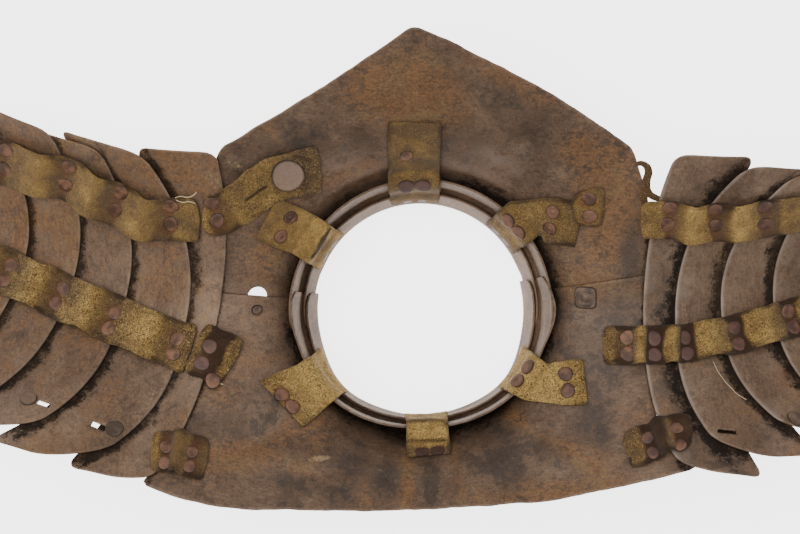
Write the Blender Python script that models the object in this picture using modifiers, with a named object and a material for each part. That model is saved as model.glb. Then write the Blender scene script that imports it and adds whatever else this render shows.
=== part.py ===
"""Steel gorget with laminated spaulders, lying inside up on the rim of its collar.

Two collar lames rise out of a front and a back plate, and six arm lames a side hang on leathers.
The form below is the height of the wearer's shoulders, upside down: every plate is a cut of it,
moved out along its normal by its own layer, so plates that overlap stay parallel and clear.
Right and left are the wearer's, whose front is +Y and whose right is -X as it lies here.
"""

import math

import bmesh
import bpy
import numpy as np
from mathutils import Matrix, Vector

# Driving sizes, in millimetres. Points are measured from the neck's axis, on the rim's plane.
MM = 0.001
PLATE = 1.4
LEATHER = 2.2
# A flat piece on the curved plate stands this far off it at its middle
SEAT_GAP = 0.8
NECK_X = 1.9
NECK_Y = -23.7

# Collar lames: the middle of the wall at the lower height, its flare, and the two heights
RIM_LAME = {"radius": 68.6, "flare": 0.17, "low": 0.7, "high": 30.0, "tab": 0.0}
BASE_LAME = {"radius": 77.6, "flare": 0.11, "low": 24.0, "high": 56.0, "tab": 5.0}
BACK_INSET = 1.8
COLLAR_SPANS = {"front": (-9.0, 189.0), "back": (172.0, 375.0)}
COLLAR_STEP = 9.0
TAB_DEG = 19.0
TAB_BELOW = 0.6
RIM_FLANGE = 5.0
# The front half's flange steps up onto the back half's where they lap
LAP_STEP, LAP_RUN, LAP_RISE = 1.9, 24.0, 6.0

# The body's form: a flange at the neck, a quick turn outwards, then a steady slope
FLANGE_R = 84.0
FLANGE_Z = 48.0
TURN = 9.0
SIDE_RISE, FRONT_RISE, BACK_RISE = 11.0, 22.0, 16.0
SIDE_SLOPE, FRONT_SLOPE, BACK_SLOPE = 0.10, 0.75, 0.70
LEAN_POWER = 1.3
AHEAD_RUN = 60.0

# The arm's form: a trough that droops outwards and deepens
ARM_ROOT_X = 125.0
ARM_TOP_Z = 68.0
ARM_DROOP = 0.28
ARM_BEND = 24.0
TROUGH_WIDTH = 55.0
TROUGH_AT_ROOT, TROUGH_AT_ARM = 0.62, 1.15
TROUGH_RUN = 85.0
ARM_BLEND_FROM, ARM_BLEND_TO = 112.0, 165.0
ARMS = {
    "right": {"side": -1, "root_y": -8.0, "yaw": 17.0},
    "left": {"side": 1, "root_y": -2.0, "yaw": 3.0},
}

# Layers: how far each plate's middle lies from the form, inwards of the wearer
FRONT_LAYER, BACK_LAYER = -1.05, 1.05
FRONT_SPAN_DEG = (-6.0, 186.0)
BACK_SPAN_DEG = (175.0, 369.0)
# The plates carry the leathers inwards of this, the front plate ahead of where the two meet
PLATES_END_X = 150.0
PLATES_MEET_Y = 12.0
# A plate's rays: their spacing in radians, its rings, and how far these crowd to the turn
RAY_STEP = 0.11
PLATE_RINGS = 9
RING_POWER = 1.8
CORNER_CLEAR = 0.05
FRONT_OUTLINE = (
    # x, y, bulge of the side that follows
    (150.0, -18.0, 0.0),
    (150.0, 22.0, 0.0),
    (142.0, 46.0, 0.0),
    (128.0, 97.0, 5.0),
    (-5.6, 168.0, -1.5),
    (-121.0, 98.5, 0.0),
    (-136.0, 60.0, 0.0),
    (-137.0, -16.0, 0.0),
)
BACK_OUTLINE = (
    (-132.0, 16.0, 0.0),
    (-141.0, -50.0, -5.0),
    (-169.0, -103.0, 5.0),
    (-83.0, -119.5, 3.0),
    (72.0, -115.0, 1.5),
    (167.0, -93.5, -11.0),
    (144.0, -45.0, 0.0),
    (143.0, 24.0, 0.0),
)
OUTLINE_ROUNDING = 9.0
OUTLINE_POINTS = 400
SIDE_POINTS = 24
KEYHOLE = {"x": -101.4, "y": 8.6}
KEYHOLE_CUT = {"radius": 6.2, "rim": 6.2, "height": 5.0, "sunk": 5.0, "sides": 32}

# Arm lames, nearest the neck first. Each one's outer edge lies under the next one's inner edge.
LAMES = (
    # middle width, end width, back corner's share, inner layer, outer layer
    {"middle": 46.0, "end": 56.0, "corner": 0.06, "inner": 4.3, "outer": -2.2},
    {"middle": 52.0, "end": 54.0, "corner": 0.14, "inner": 3.6, "outer": -1.0},
    {"middle": 47.0, "end": 54.0, "corner": 0.14, "inner": 3.1, "outer": -1.2},
    {"middle": 47.0, "end": 52.0, "corner": 0.14, "inner": 2.8, "outer": -1.2},
    {"middle": 46.0, "end": 52.0, "corner": 0.14, "inner": 2.8, "outer": -1.2},
    {"middle": 54.0, "end": 52.0, "corner": 0.14, "inner": 2.8, "outer": -2.6},
)
SWEEP_POWER = 2.6
FRONT_CORNER = 0.05
FRONT_CORNER_RUN, BACK_CORNER_RUN = 0.25, 0.55
# Each crescent's place in plan: its inner edge's middle, its turn, its two halves and how far
# each half sweeps outwards, and its ends' slope. The sides differ, as old leathers let them hang.
POSE_COLUMNS = ("x", "y", "yaw", "front", "back", "ahead", "behind", "trim")
LAME_POSES = {
    "right": (
        (126.5, -5.0, 9.0, 102.0, 106.0, 15.0, 24.0, 0.08),
        (146.0, -13.0, 11.0, 104.0, 90.0, 43.0, 44.0, 0.08),
        (187.0, -5.0, 16.0, 99.0, 84.0, 37.0, 37.0, 0.02),
        (222.0, 7.0, 19.0, 97.0, 80.0, 38.0, 30.0, 0.0),
        (255.0, 16.0, 20.0, 86.0, 76.0, 37.0, 30.0, 0.0),
        (286.0, 26.0, 21.0, 82.0, 72.0, 36.0, 28.0, 0.0),
    ),
    "left": (
        (137.0, -5.0, 0.0, 99.0, 92.0, 18.0, 21.0, 0.0),
        (156.5, -8.0, 0.0, 98.0, 82.0, 40.0, 30.0, 0.05),
        (187.0, -6.0, 4.0, 88.0, 76.0, 46.0, 40.0, 0.05),
        (221.0, 3.0, 4.0, 84.0, 78.0, 44.0, 42.0, 0.0),
        (254.0, 6.0, 5.0, 82.0, 74.0, 42.0, 40.0, 0.0),
        (286.0, 9.0, 6.0, 80.0, 72.0, 40.0, 38.0, 0.0),
    ),
}

# Shoulder leathers: route in plan, width at each end, and the middles of their rivet pairs
LEATHER_GAP = 0.5
STRAPS = {
    "right_front_leather": {
        "route": ((-137, 58), (-154, 59), (-171, 61), (-185, 68), (-217, 84), (-256, 94), (-296, 104)),
        "widths": (25, 25),
        "rivets": ((-153, 59), (-185, 68), (-217, 82), (-257, 95), (-289, 102)),
    },
    "right_stud_leather": {
        "route": ((-134, 61), (-126, 60), (-104, 73), (-89, 82), (-81, 84), (-67, 86), (-61, 87)),
        "widths": (23, 26),
        "rivets": ((-126, 61),),
    },
    "right_middle_leather": {
        "route": ((-141, -25), (-165, -18), (-187, -8), (-215, 3), (-228, 9), (-266, 25), (-300, 38)),
        "widths": (30, 30),
        "rivets": ((-152, -21), (-192, -6), (-226, 8), (-261, 23), (-293, 36)),
    },
    "right_middle_patch": {
        "route": ((-138.5, -24), (-129, -28), (-116, -34)),
        "widths": (34, 30),
        "rivets": ((-132, -27),),
    },
    "right_back_leather": {
        "route": ((-165, -87), (-150, -87), (-130, -91)),
        "widths": (21, 24),
        "rivets": ((-155, -86), (-139, -89)),
    },
    "left_front_leather": {
        "route": ((129, 58), (151, 59), (169, 56), (178, 58), (197, 58), (233, 63), (263, 66), (297, 69)),
        "widths": (22, 20),
        "rivets": ((150, 59), (179, 58), (209, 60), (262, 66), (290, 68)),
    },
    "left_middle_leather": {
        "route": ((112, -22), (142, -22), (162, -22), (195, -16), (231, -6), (270, 4), (304, 12)),
        "widths": (22, 26),
        "rivets": ((127, -22), (143, -22), (163, -21), (195, -15), (231, -6), (264, 3), (296, 10)),
    },
    "left_back_leather": {
        "route": ((124, -85), (138, -82), (153, -76), (165, -75)),
        "widths": (21, 18),
        "rivets": ((139, -82), (155, -76)),
    },
    "front_remnant": {
        "route": ((103, 51), (102, 63), (101, 76)),
        "widths": (15, 17),
        "rivets": (),
        "single": ((103, 58), (102, 69)),
    },
}
# What lies under a strap is looked up on rays across it, then spread and evened along it, in mm
UNDER_SHARE, UNDER_RAYS = 0.55, 7
LIFT_SPREAD, LIFT_EVEN, ROUTE_EVEN = 9, 5, 5
STRAP_CORNER = 5.0
CORNER_SHARE = 0.3
STRAP_STEP = 8.0
STRAP_SWELL = 4.0
SWELL_SPAN = (14.0, 45.0)
PAIR_SPACING = 9.2
HEAD = {"radius": 4.3, "rim": 3.3, "height": 1.6, "sunk": 0.6, "sides": 8}

# Neck leathers: where each lies round the collar and on its plate, in degrees, and its reach
NECK_LEATHERS = {
    "neck_leather_front": {"collar": 93, "plate": 93, "width": 30, "reach": 115, "half": "front"},
    "neck_leather_front_right": {"collar": 147, "plate": 148, "width": 25, "reach": 110, "half": "front"},
    "neck_leather_back_right": {"collar": 217, "plate": 215, "width": 28, "reach": 103, "half": "back"},
    "neck_leather_back": {"collar": 273, "plate": 273, "width": 28, "reach": 95, "half": "back"},
    "neck_leather_back_left": {"collar": 328, "plate": 336, "width": 25, "reach": 111, "half": "back"},
    "neck_leather_front_left": {"collar": 42, "plate": 30, "width": 26, "reach": 109, "half": "front"},
}
# From the plate over the base lame's near edge, down inside it, over the rim lame's and down
NECK_PATH = (
    # radius, height
    (84.6, 59.4),
    (81.2, 58.4),
    (78.9, 56.8),
    (78.5, 52.0),
    (77.2, 40.0),
    (76.8, 36.5),
    (75.4, 33.6),
    (73.4, 32.3),
    (71.4, 30.6),
    (70.7, 26.0),
    (68.1, 11.0),
)
NECK_PATH_PLATE = 90.5
NECK_STEP = 5.0
NECK_HEAD_OUT = 1.5
BASE_RIVET, RIM_RIVET = (77.85, 46.0), (69.1, 17.0)

STUD = {"x": -81.0, "y": 83.5, "radius": 9.6, "rim": 8.6, "height": 2.2}
FASTENER = {"x": -102.5, "y": 0.6, "radius": 3.3, "rim": 2.2, "height": 2.4}
WASHER = {"x": 102.2, "y": 8.5, "side": 13.5, "thick": 1.6, "corner": 3.5}
LAME_RIVETS = (
    # arm, lame's place in the table, x, y
    ("right", 1, -187, -73),
    ("right", 2, -239, -55),
    ("left", 2, 228, -68),
)
LAME_SLOTS = (
    # arm, lame's place in the table, x, y, length, width, turn in degrees
    ("right", 1, -196.0, -71.0, 9.0, 4.2, -20.0),
    ("right", 2, -229.0, -58.0, 9.0, 3.6, -25.0),
    ("left", 1, 185.0, -75.0, 11.0, 3.0, -8.0),
)
SLOT_DEPTH = 10.0
STUD_SIDES = 28
WASHER_BEVELS = 4

GAMMA = 2.2
COLOURS = {
    # finish: base colour (sRGB), metallic, roughness
    "rusted_steel": ((0.36, 0.29, 0.24), 0.75, 0.62),
    "worn_steel": ((0.47, 0.41, 0.37), 0.85, 0.5),
    "buff_leather": ((0.52, 0.40, 0.19), 0.0, 0.85),
    "old_iron": ((0.42, 0.32, 0.29), 0.7, 0.6),
}


def smooth(t):
    """An even step from 0 to 1."""
    t = np.clip(t, 0.0, 1.0)
    return t * t * (3.0 - 2.0 * t)


def mix(a, b, t):
    return a + (b - a) * t


def body_height(x, y):
    """Flange, quick turn and slope, each steeper to the front and back than to the sides."""
    radius = np.hypot(x, y)
    out = radius - FLANGE_R
    lean = np.abs(y / radius) ** LEAN_POWER
    ahead = smooth(0.5 + y / AHEAD_RUN)
    rise = mix(SIDE_RISE, mix(BACK_RISE, FRONT_RISE, ahead), lean)
    slope = mix(SIDE_SLOPE, mix(BACK_SLOPE, FRONT_SLOPE, ahead), lean)
    return FLANGE_Z + rise * (1.0 - np.exp(-out / TURN)) + slope * out


def arm_axes(arm, x, y):
    """Distance along the arm's axis from its root, and across it to the front."""
    side, yaw = ARMS[arm]["side"], math.radians(ARMS[arm]["yaw"])
    dx, dy = side * x - ARM_ROOT_X, y - ARMS[arm]["root_y"]
    along = dx * math.cos(yaw) + dy * math.sin(yaw)
    across = dy * math.cos(yaw) - dx * math.sin(yaw)
    return along, across


def arm_height(arm, x, y):
    """A hyperbolic trough whose bottom droops and whose sides steepen along the arm."""
    along, across = arm_axes(arm, x, y)
    bottom = ARM_TOP_Z - ARM_DROOP * 0.5 * (np.hypot(along, ARM_BEND) + along)
    steep = mix(TROUGH_AT_ROOT, TROUGH_AT_ARM, smooth(along / TROUGH_RUN))
    return bottom + steep * (np.hypot(across, TROUGH_WIDTH) - TROUGH_WIDTH)


def form_height(x, y):
    """The body's form, passing into the arm's on each side."""
    share = smooth((np.abs(x) - ARM_BLEND_FROM) / (ARM_BLEND_TO - ARM_BLEND_FROM))
    arm = np.where(x < 0, arm_height("right", x, y), arm_height("left", x, y))
    return mix(body_height(x, y), arm, share)


def form_normal(x, y):
    step = 0.25
    gx = (form_height(x + step, y) - form_height(x - step, y)) / (2 * step)
    gy = (form_height(x, y + step) - form_height(x, y - step)) / (2 * step)
    normal = np.stack([-gx, -gy, np.ones_like(gx)], -1)
    return normal / np.linalg.norm(normal, axis=-1, keepdims=True)


def on_form(x, y, layer):
    """The point of the form over (x, y), moved out along its normal by layer."""
    x, y, layer = np.broadcast_arrays(*(np.asarray(v, float) for v in (x, y, layer)))
    foot = np.stack([x, y, form_height(x, y)], -1)
    return foot + form_normal(x, y) * layer[..., None]


def rounded_outline(corners):
    """The plate's edge in plan: sides bulged by a parabola, then every corner rounded."""
    path = []
    for (x0, y0, bulge), (x1, y1, _) in zip(corners[:-1], corners[1:]):
        t = np.arange(SIDE_POINTS) / SIDE_POINTS
        away = np.array([y1 - y0, x0 - x1]) / math.hypot(x1 - x0, y1 - y0)
        line = np.outer(1 - t, (x0, y0)) + np.outer(t, (x1, y1))
        path.append(line + np.outer(4 * bulge * t * (1 - t), away))
    path = np.vstack([*path, [corners[-1][:2]]])
    steps = np.hypot(*np.diff(path, axis=0).T)
    length = np.concatenate([[0], np.cumsum(steps)])
    even = np.linspace(0, length[-1], OUTLINE_POINTS)
    dense = np.stack([np.interp(even, length, path[:, i]) for i in (0, 1)], -1)
    reach = max(1, round(OUTLINE_ROUNDING / even[1] / 2))
    padded = np.pad(dense, ((reach, reach), (0, 0)), mode="edge")
    window = np.ones(2 * reach + 1) / (2 * reach + 1)
    return np.stack([np.convolve(padded[:, i], window, "valid") for i in (0, 1)], -1)


def edge_radius(corners, angles):
    """How far the outline lies from the neck's axis at each angle."""
    outline = rounded_outline(corners)
    bearing = np.unwrap(np.arctan2(outline[:, 1], outline[:, 0]))
    bearing += 2 * math.pi * round((angles.mean() - bearing.mean()) / (2 * math.pi))
    return np.interp(angles, bearing, np.hypot(*outline.T))


def corner_angles(corners, span_deg):
    """Angles over the span, with one at each corner and even steps between them."""
    low, high = (math.radians(a) for a in span_deg)
    bearings = np.unwrap([math.atan2(y, x) for x, y, _ in corners])
    bearings += 2 * math.pi * round(((low + high) / 2 - bearings.mean()) / (2 * math.pi))
    inner = [b for b in bearings if low + CORNER_CLEAR < b < high - CORNER_CLEAR]
    stops = [low, *inner, high]
    pieces = [
        np.linspace(a, b, max(2, round((b - a) / RAY_STEP) + 1))[:-1] for a, b in zip(stops, stops[1:])
    ]
    return np.concatenate([*pieces, [high]])


def plate_rows(corners, span_deg, layer):
    """A main plate: rays from the flange to the outline, closer together at the turn."""
    angles = corner_angles(corners, span_deg)
    reach = edge_radius(corners, angles)
    share = (np.arange(PLATE_RINGS + 1) / PLATE_RINGS) ** RING_POWER
    radius = FLANGE_R + share[:, None] * (reach - FLANGE_R)
    return on_form(radius * np.cos(angles), radius * np.sin(angles), layer)


def lame_plan(arm, number, s, t):
    """A lame in plan: s runs from its inner edge to its outer one, t from its back end to its front.

    The edge is a power curve, and each inner corner is cut back by a parabola.
    """
    lame, pose = LAMES[number], dict(zip(POSE_COLUMNS, LAME_POSES[arm][number]))
    ahead = t > 0
    run = np.where(ahead, FRONT_CORNER_RUN, BACK_CORNER_RUN)
    corner = np.where(ahead, FRONT_CORNER, lame["corner"]) * np.clip(1 - s / run, 0, 1) ** 2
    reach = t * (1 - corner * np.abs(t))
    across = reach * np.where(ahead, pose["front"], pose["back"]) * (1 - pose["trim"] * s)
    sweep = np.where(ahead, pose["ahead"], pose["behind"]) * np.abs(reach) ** SWEEP_POWER
    along = sweep + s * mix(lame["middle"], lame["end"], t * t)
    turn = math.radians(pose["yaw"])
    x = pose["x"] + along * math.cos(turn) - across * math.sin(turn)
    y = pose["y"] + along * math.sin(turn) + across * math.cos(turn)
    return ARMS[arm]["side"] * x, y


def lame_share(arm, number, x, y):
    """How far across the lame a point of the plan lies, 0 to 1, and nan where it is off it."""
    lame, pose = LAMES[number], dict(zip(POSE_COLUMNS, LAME_POSES[arm][number]))
    turn = math.radians(pose["yaw"])
    dx, dy = ARMS[arm]["side"] * x - pose["x"], y - pose["y"]
    along = dx * math.cos(turn) + dy * math.sin(turn)
    across = dy * math.cos(turn) - dx * math.sin(turn)
    t = across / np.where(across > 0, pose["front"], pose["back"])
    sweep = np.where(across > 0, pose["ahead"], pose["behind"]) * np.abs(t) ** SWEEP_POWER
    s = (along - sweep) / mix(lame["middle"], lame["end"], t * t)
    return np.where((np.abs(t) <= 1) & (s >= 0) & (s <= 1), s, np.nan)


def lame_rows(arm, number, across=4, along=18):
    s, t = np.meshgrid(np.linspace(0, 1, across + 1), np.linspace(-1, 1, along + 1))
    x, y = lame_plan(arm, number, s, t)
    return on_form(x, y, mix(LAMES[number]["inner"], LAMES[number]["outer"], s))


def sheet_layer(x, y):
    """The highest layer that lies over each point of the plan, of plates and arm lames."""
    inside = np.abs(x) < PLATES_END_X
    plate = np.where(y > PLATES_MEET_Y, FRONT_LAYER, BACK_LAYER)
    top = np.where(inside, plate, LAMES[1]["outer"])
    for arm, poses in LAME_POSES.items():
        for number in range(len(poses)):
            share = lame_share(arm, number, x, y)
            layer = mix(LAMES[number]["inner"], LAMES[number]["outer"], share)
            layer = np.where(x * ARMS[arm]["side"] > 0, layer, np.nan)
            top = np.fmax(top, layer)
    return top


def slide(values, reach, take):
    """A running value over 2 * reach + 1 neighbours."""
    padded = np.pad(values, reach, mode="edge")
    return take(np.lib.stride_tricks.sliding_window_view(padded, 2 * reach + 1), axis=-1)


class Strap:
    """A leather laid along a route: what is under it lifts it, and it swells between rivets."""

    def __init__(self, route, widths, rivets, single=()):
        corners = np.array(route, float)
        length = np.concatenate([[0], np.cumsum(np.hypot(*np.diff(corners, axis=0).T))])
        self.far = length[-1]
        self.dist = np.linspace(0, self.far, round(self.far) + 1)
        line = [np.interp(self.dist, length, corners[:, i]) for i in (0, 1)]
        self.line = np.stack([slide(c, ROUTE_EVEN, np.mean) for c in line], -1)
        way = np.gradient(self.line, axis=0)
        way /= np.linalg.norm(way, axis=1, keepdims=True)
        self.across = np.stack([-way[:, 1], way[:, 0]], -1)
        self.widths = widths
        sides = np.linspace(-UNDER_SHARE, UNDER_SHARE, UNDER_RAYS) * max(widths)
        near = self.line[:, None] + sides[:, None] * self.across[:, None]
        lift = sheet_layer(near[..., 0], near[..., 1]).max(axis=1)
        lift = slide(slide(lift, LIFT_SPREAD, np.max), LIFT_EVEN, np.mean)
        self.stops = sorted(self.nearest(x, y) for x, y in rivets)
        self.lift = lift + PLATE / 2 + LEATHER_GAP + LEATHER / 2 + self.swell()
        self.pairs, self.single = rivets, single

    def nearest(self, x, y):
        return int(np.argmin(np.hypot(*(self.line - (x, y)).T)))

    def swell(self):
        """Between two rivet pairs the leather stands up in one soft bulge."""
        height = np.zeros_like(self.dist)
        for low, high in zip(self.stops, self.stops[1:]):
            if SWELL_SPAN[0] < high - low < SWELL_SPAN[1]:
                u = (self.dist - low) / (high - low)
                height += np.where((u > 0) & (u < 1), STRAP_SWELL * np.sin(math.pi * u) ** 2, 0)
        return height

    def at(self, dist, offset):
        """Plan and layer of the point at a distance along the strap and an offset across it."""
        x, y = (np.interp(dist, self.dist, self.line[:, i]) for i in (0, 1))
        across_x, across_y = (np.interp(dist, self.dist, self.across[:, i]) for i in (0, 1))
        lift = np.interp(dist, self.dist, self.lift)
        return x + offset * across_x, y + offset * across_y, lift

    def half_width(self, dist):
        """Half the width, with a quarter circle at each corner."""
        half = mix(self.widths[0], self.widths[1], dist / self.far) / 2
        short = np.clip(STRAP_CORNER - np.minimum(dist, self.far - dist), 0, STRAP_CORNER)
        return half - STRAP_CORNER + np.sqrt(STRAP_CORNER**2 - short**2)

    def rows(self, step=STRAP_STEP, across=3):
        count = max(3, round((self.far - 2 * STRAP_CORNER) / step))
        inner = np.linspace(STRAP_CORNER, self.far - STRAP_CORNER, count + 1)
        rim = np.array([0.0, CORNER_SHARE * STRAP_CORNER])
        dist = np.concatenate([rim, inner, self.far - rim[::-1]])
        offset = np.linspace(-1, 1, across + 1) * self.half_width(dist)[:, None]
        return on_form(*self.at(dist[:, None], offset))

    def heads(self):
        """Middle of each rivet head's seat, on the leather's upper face, with its direction."""
        spots = []
        for x, y in self.pairs:
            dist = self.nearest(x, y)
            spots += [self.at(dist, side * PAIR_SPACING / 2) for side in (-1, 1)]
        for x, y in self.single:
            spots.append((x, y, self.lift[self.nearest(x, y)]))
        return [(on_form(x, y, layer + LEATHER / 2), form_normal(x, y)) for x, y, layer in spots]


def collar_radius(lame, z):
    return lame["radius"] + lame["flare"] * (z - lame["low"])


def tab_share(angles, width_deg):
    """1 at the wearer's two sides, falling evenly to 0 within the tab's half width."""
    off = np.degrees(np.abs((angles + math.pi / 2) % math.pi - math.pi / 2))
    return smooth(1 - off / width_deg)


def collar_rows(lame, half, heights=2):
    """One half of a collar lame, its wall's middle; the rim lame also turns outwards at its foot."""
    start, end = COLLAR_SPANS[half]
    angles = np.radians(np.linspace(start, end, round((end - start) / COLLAR_STEP) + 1))
    inset = BACK_INSET if half == "back" else 0.0
    tab = tab_share(angles, TAB_DEG)
    low = lame["low"] - TAB_BELOW * lame["tab"] * tab
    if half == "front" and lame is RIM_LAME:
        past_lap = np.degrees(np.minimum(angles, math.pi - angles))
        low = low + LAP_STEP * smooth((LAP_RUN - past_lap) / LAP_RISE)
    high = lame["high"] + lame["tab"] * tab
    share = np.linspace(0, 1, heights + 1)[:, None]
    z = mix(low, high, share)
    radius = collar_radius(lame, z) - inset
    if lame is RIM_LAME:
        z = np.vstack([low, low, z])
        radius = np.vstack([radius[:1] + RIM_FLANGE, radius[:1] + RIM_FLANGE / 2, radius])
    return np.stack([radius * np.cos(angles), radius * np.sin(angles), z], -1)


def arc_point(radius, azimuth, offset, z):
    """A point at an azimuth, moved round the neck by an offset measured along the arc."""
    angle = azimuth + offset / radius
    return np.stack(np.broadcast_arrays(radius * np.cos(angle), radius * np.sin(angle), z), -1)


class NeckLeather:
    """A strip from a plate over both collar lames, lying against their inner sides."""

    def __init__(self, collar, plate, width, reach, half):
        self.collar, self.plate = math.radians(collar), math.radians(plate)
        self.width, self.reach = width, reach
        self.layer = FRONT_LAYER if half == "front" else BACK_LAYER
        self.inset = 0.0 if half == "front" else BACK_INSET

    def azimuth(self, radius):
        share = smooth((radius - NECK_PATH_PLATE) / (self.reach - NECK_PATH_PLATE))
        return mix(self.collar, self.plate, share)

    def on_plate(self, radius, offset, lift=0.0):
        angle = self.azimuth(radius) + offset / radius
        layer = self.layer + PLATE / 2 + LEATHER_GAP + LEATHER / 2 + lift
        return on_form(radius * np.cos(angle), radius * np.sin(angle), layer)

    def rows(self, across=3):
        count = max(2, round((self.reach - NECK_PATH_PLATE) / NECK_STEP))
        radius = np.linspace(self.reach, NECK_PATH_PLATE, count + 1)[:, None]
        offset = np.linspace(-0.5, 0.5, across + 1) * self.width
        upper = self.on_plate(radius, offset)
        path = np.array(NECK_PATH)
        lower = arc_point(path[:, :1] - self.inset, self.collar, offset, path[:, 1:])
        return np.vstack([upper, lower])

    def heads(self):
        spots = []
        plate_radius = (self.reach + NECK_PATH_PLATE) / 2 + NECK_HEAD_OUT
        for offset in (-PAIR_SPACING / 2, PAIR_SPACING / 2):
            seat = self.on_plate(np.array(plate_radius), offset, LEATHER / 2)
            spots.append((seat, form_normal(seat[0], seat[1])))
            for radius, z in (BASE_RIVET, RIM_RIVET):
                inner = radius - self.inset - LEATHER / 2
                seat = arc_point(inner, self.collar, offset, z)
                spots.append((seat, -np.array([seat[0], seat[1], 0.0]) / inner))
        return spots


def clear_scene():
    for item in list(bpy.data.objects):
        bpy.data.objects.remove(item, do_unlink=True)


def make_material(name):
    (red, green, blue), metallic, roughness = COLOURS[name]
    material = bpy.data.materials.new(name)
    material.use_nodes = True
    shader = material.node_tree.nodes["Principled BSDF"]
    shader.inputs["Base Color"].default_value = (red**GAMMA, green**GAMMA, blue**GAMMA, 1.0)
    shader.inputs["Metallic"].default_value = metallic
    shader.inputs["Roughness"].default_value = roughness
    return material


def sheet_object(name, rows, thickness, material, axis, parts):
    """An open grid of rows, thickened evenly to both sides of its middle."""
    height, width = rows.shape[:2]
    corner = np.arange((height - 1) * width).reshape(height - 1, width)[:, :-1].ravel()
    faces = np.stack([corner, corner + 1, corner + width + 1, corner + width], -1)
    mesh = bpy.data.meshes.new(name)
    mesh.from_pydata((rows.reshape(-1, 3) * MM).tolist(), [], faces.tolist())
    mesh.materials.append(material)
    mesh.shade_smooth()
    sheet = bpy.data.objects.new(name, mesh)
    sheet.parent = axis
    parts.objects.link(sheet)
    wall = sheet.modifiers.new("Wall", "SOLIDIFY")
    wall.thickness = thickness * MM
    wall.offset = 0.0
    wall.use_even_offset = True
    return sheet


def facing(normal):
    """The turn that takes +Z to the normal."""
    return Vector((0, 0, 1)).rotation_difference(Vector(normal))


def seat_matrix(seat, normal, turn=0.0):
    spin = facing(normal).to_matrix().to_4x4() @ Matrix.Rotation(turn, 4, "Z")
    return Matrix.Translation(Vector(seat) * MM) @ spin


def heads_mesh(name, spots, shape):
    """Low domes on their seats, each sunk a little into what carries it."""
    shells = bmesh.new()
    depth = shape["height"] + shape["sunk"]
    for seat, normal in spots:
        middle = np.asarray(seat) + np.asarray(normal) * (depth / 2 - shape["sunk"])
        bmesh.ops.create_cone(
            shells,
            cap_ends=True,
            segments=shape["sides"],
            radius1=shape["radius"] * MM,
            radius2=shape["rim"] * MM,
            depth=depth * MM,
            matrix=seat_matrix(middle, normal),
        )
    mesh = bpy.data.meshes.new(name)
    shells.to_mesh(mesh)
    shells.free()
    return mesh


def add_tool(target, mesh, operation, axis, cutters):
    """A Boolean on the target with a hidden tool object that holds the mesh."""
    tool = bpy.data.objects.new(mesh.name, mesh)
    tool.parent = axis
    tool.hide_render = True
    tool.display_type = "WIRE"
    cutters.objects.link(tool)
    cut = target.modifiers.new(operation.title(), "BOOLEAN")
    cut.operation = operation
    cut.solver = "EXACT"
    cut.object = tool


def slot_mesh(name, seat, normal, length, width, turn_deg):
    """A slot's cutter: a long box through the plate, turned in its plane."""
    block = bmesh.new()
    bmesh.ops.create_cube(block, size=1.0)
    size = Matrix.Diagonal((length * MM, width * MM, SLOT_DEPTH * MM, 1.0))
    place = seat_matrix(seat, normal, math.radians(turn_deg))
    bmesh.ops.transform(block, matrix=place @ size, verts=block.verts)
    mesh = bpy.data.meshes.new(name)
    block.to_mesh(mesh)
    block.free()
    return mesh


def build_plates(steel, axis, parts, cutters):
    front_rows = plate_rows(FRONT_OUTLINE, FRONT_SPAN_DEG, FRONT_LAYER)
    back_rows = plate_rows(BACK_OUTLINE, BACK_SPAN_DEG, BACK_LAYER)
    front = sheet_object("front_plate", front_rows, PLATE, steel, axis, parts)
    sheet_object("back_plate", back_rows, PLATE, steel, axis, parts)
    seat = on_form(KEYHOLE["x"], KEYHOLE["y"], FRONT_LAYER)
    spot = (seat, form_normal(KEYHOLE["x"], KEYHOLE["y"]))
    add_tool(front, heads_mesh("keyhole", [spot], KEYHOLE_CUT), "DIFFERENCE", axis, cutters)


def build_collar(steel, axis, parts):
    for half in COLLAR_SPANS:
        sheet_object(f"collar_rim_{half}", collar_rows(RIM_LAME, half), PLATE, steel, axis, parts)
        sheet_object(f"collar_base_{half}", collar_rows(BASE_LAME, half), PLATE, steel, axis, parts)


def build_lames(steel, axis, parts, cutters):
    for arm, poses in LAME_POSES.items():
        for number in range(len(poses)):
            name = f"{arm}_lame_{number + 1}"
            lame = sheet_object(name, lame_rows(arm, number), PLATE, steel, axis, parts)
            spots = [
                (on_form(x, y, sheet_layer(np.array(x), np.array(y)) + PLATE / 2), form_normal(x, y))
                for side, which, x, y in LAME_RIVETS
                if (side, which) == (arm, number)
            ]
            if spots:
                add_tool(lame, heads_mesh(f"{name}_rivet", spots, HEAD), "UNION", axis, cutters)
            for side, which, x, y, length, width, turn in LAME_SLOTS:
                if (side, which) == (arm, number):
                    seat = on_form(x, y, sheet_layer(np.array(x), np.array(y)))
                    slot = slot_mesh(f"{name}_slot", seat, form_normal(x, y), length, width, turn)
                    add_tool(lame, slot, "DIFFERENCE", axis, cutters)


def build_leathers(leather, axis, parts, cutters):
    strips = {name: Strap(**sizes) for name, sizes in STRAPS.items()}
    strips.update({name: NeckLeather(**sizes) for name, sizes in NECK_LEATHERS.items()})
    for name, strip in strips.items():
        sheet = sheet_object(name, strip.rows(), LEATHER, leather, axis, parts)
        add_tool(sheet, heads_mesh(f"{name}_rivets", strip.heads(), HEAD), "UNION", axis, cutters)
    return strips


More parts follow.
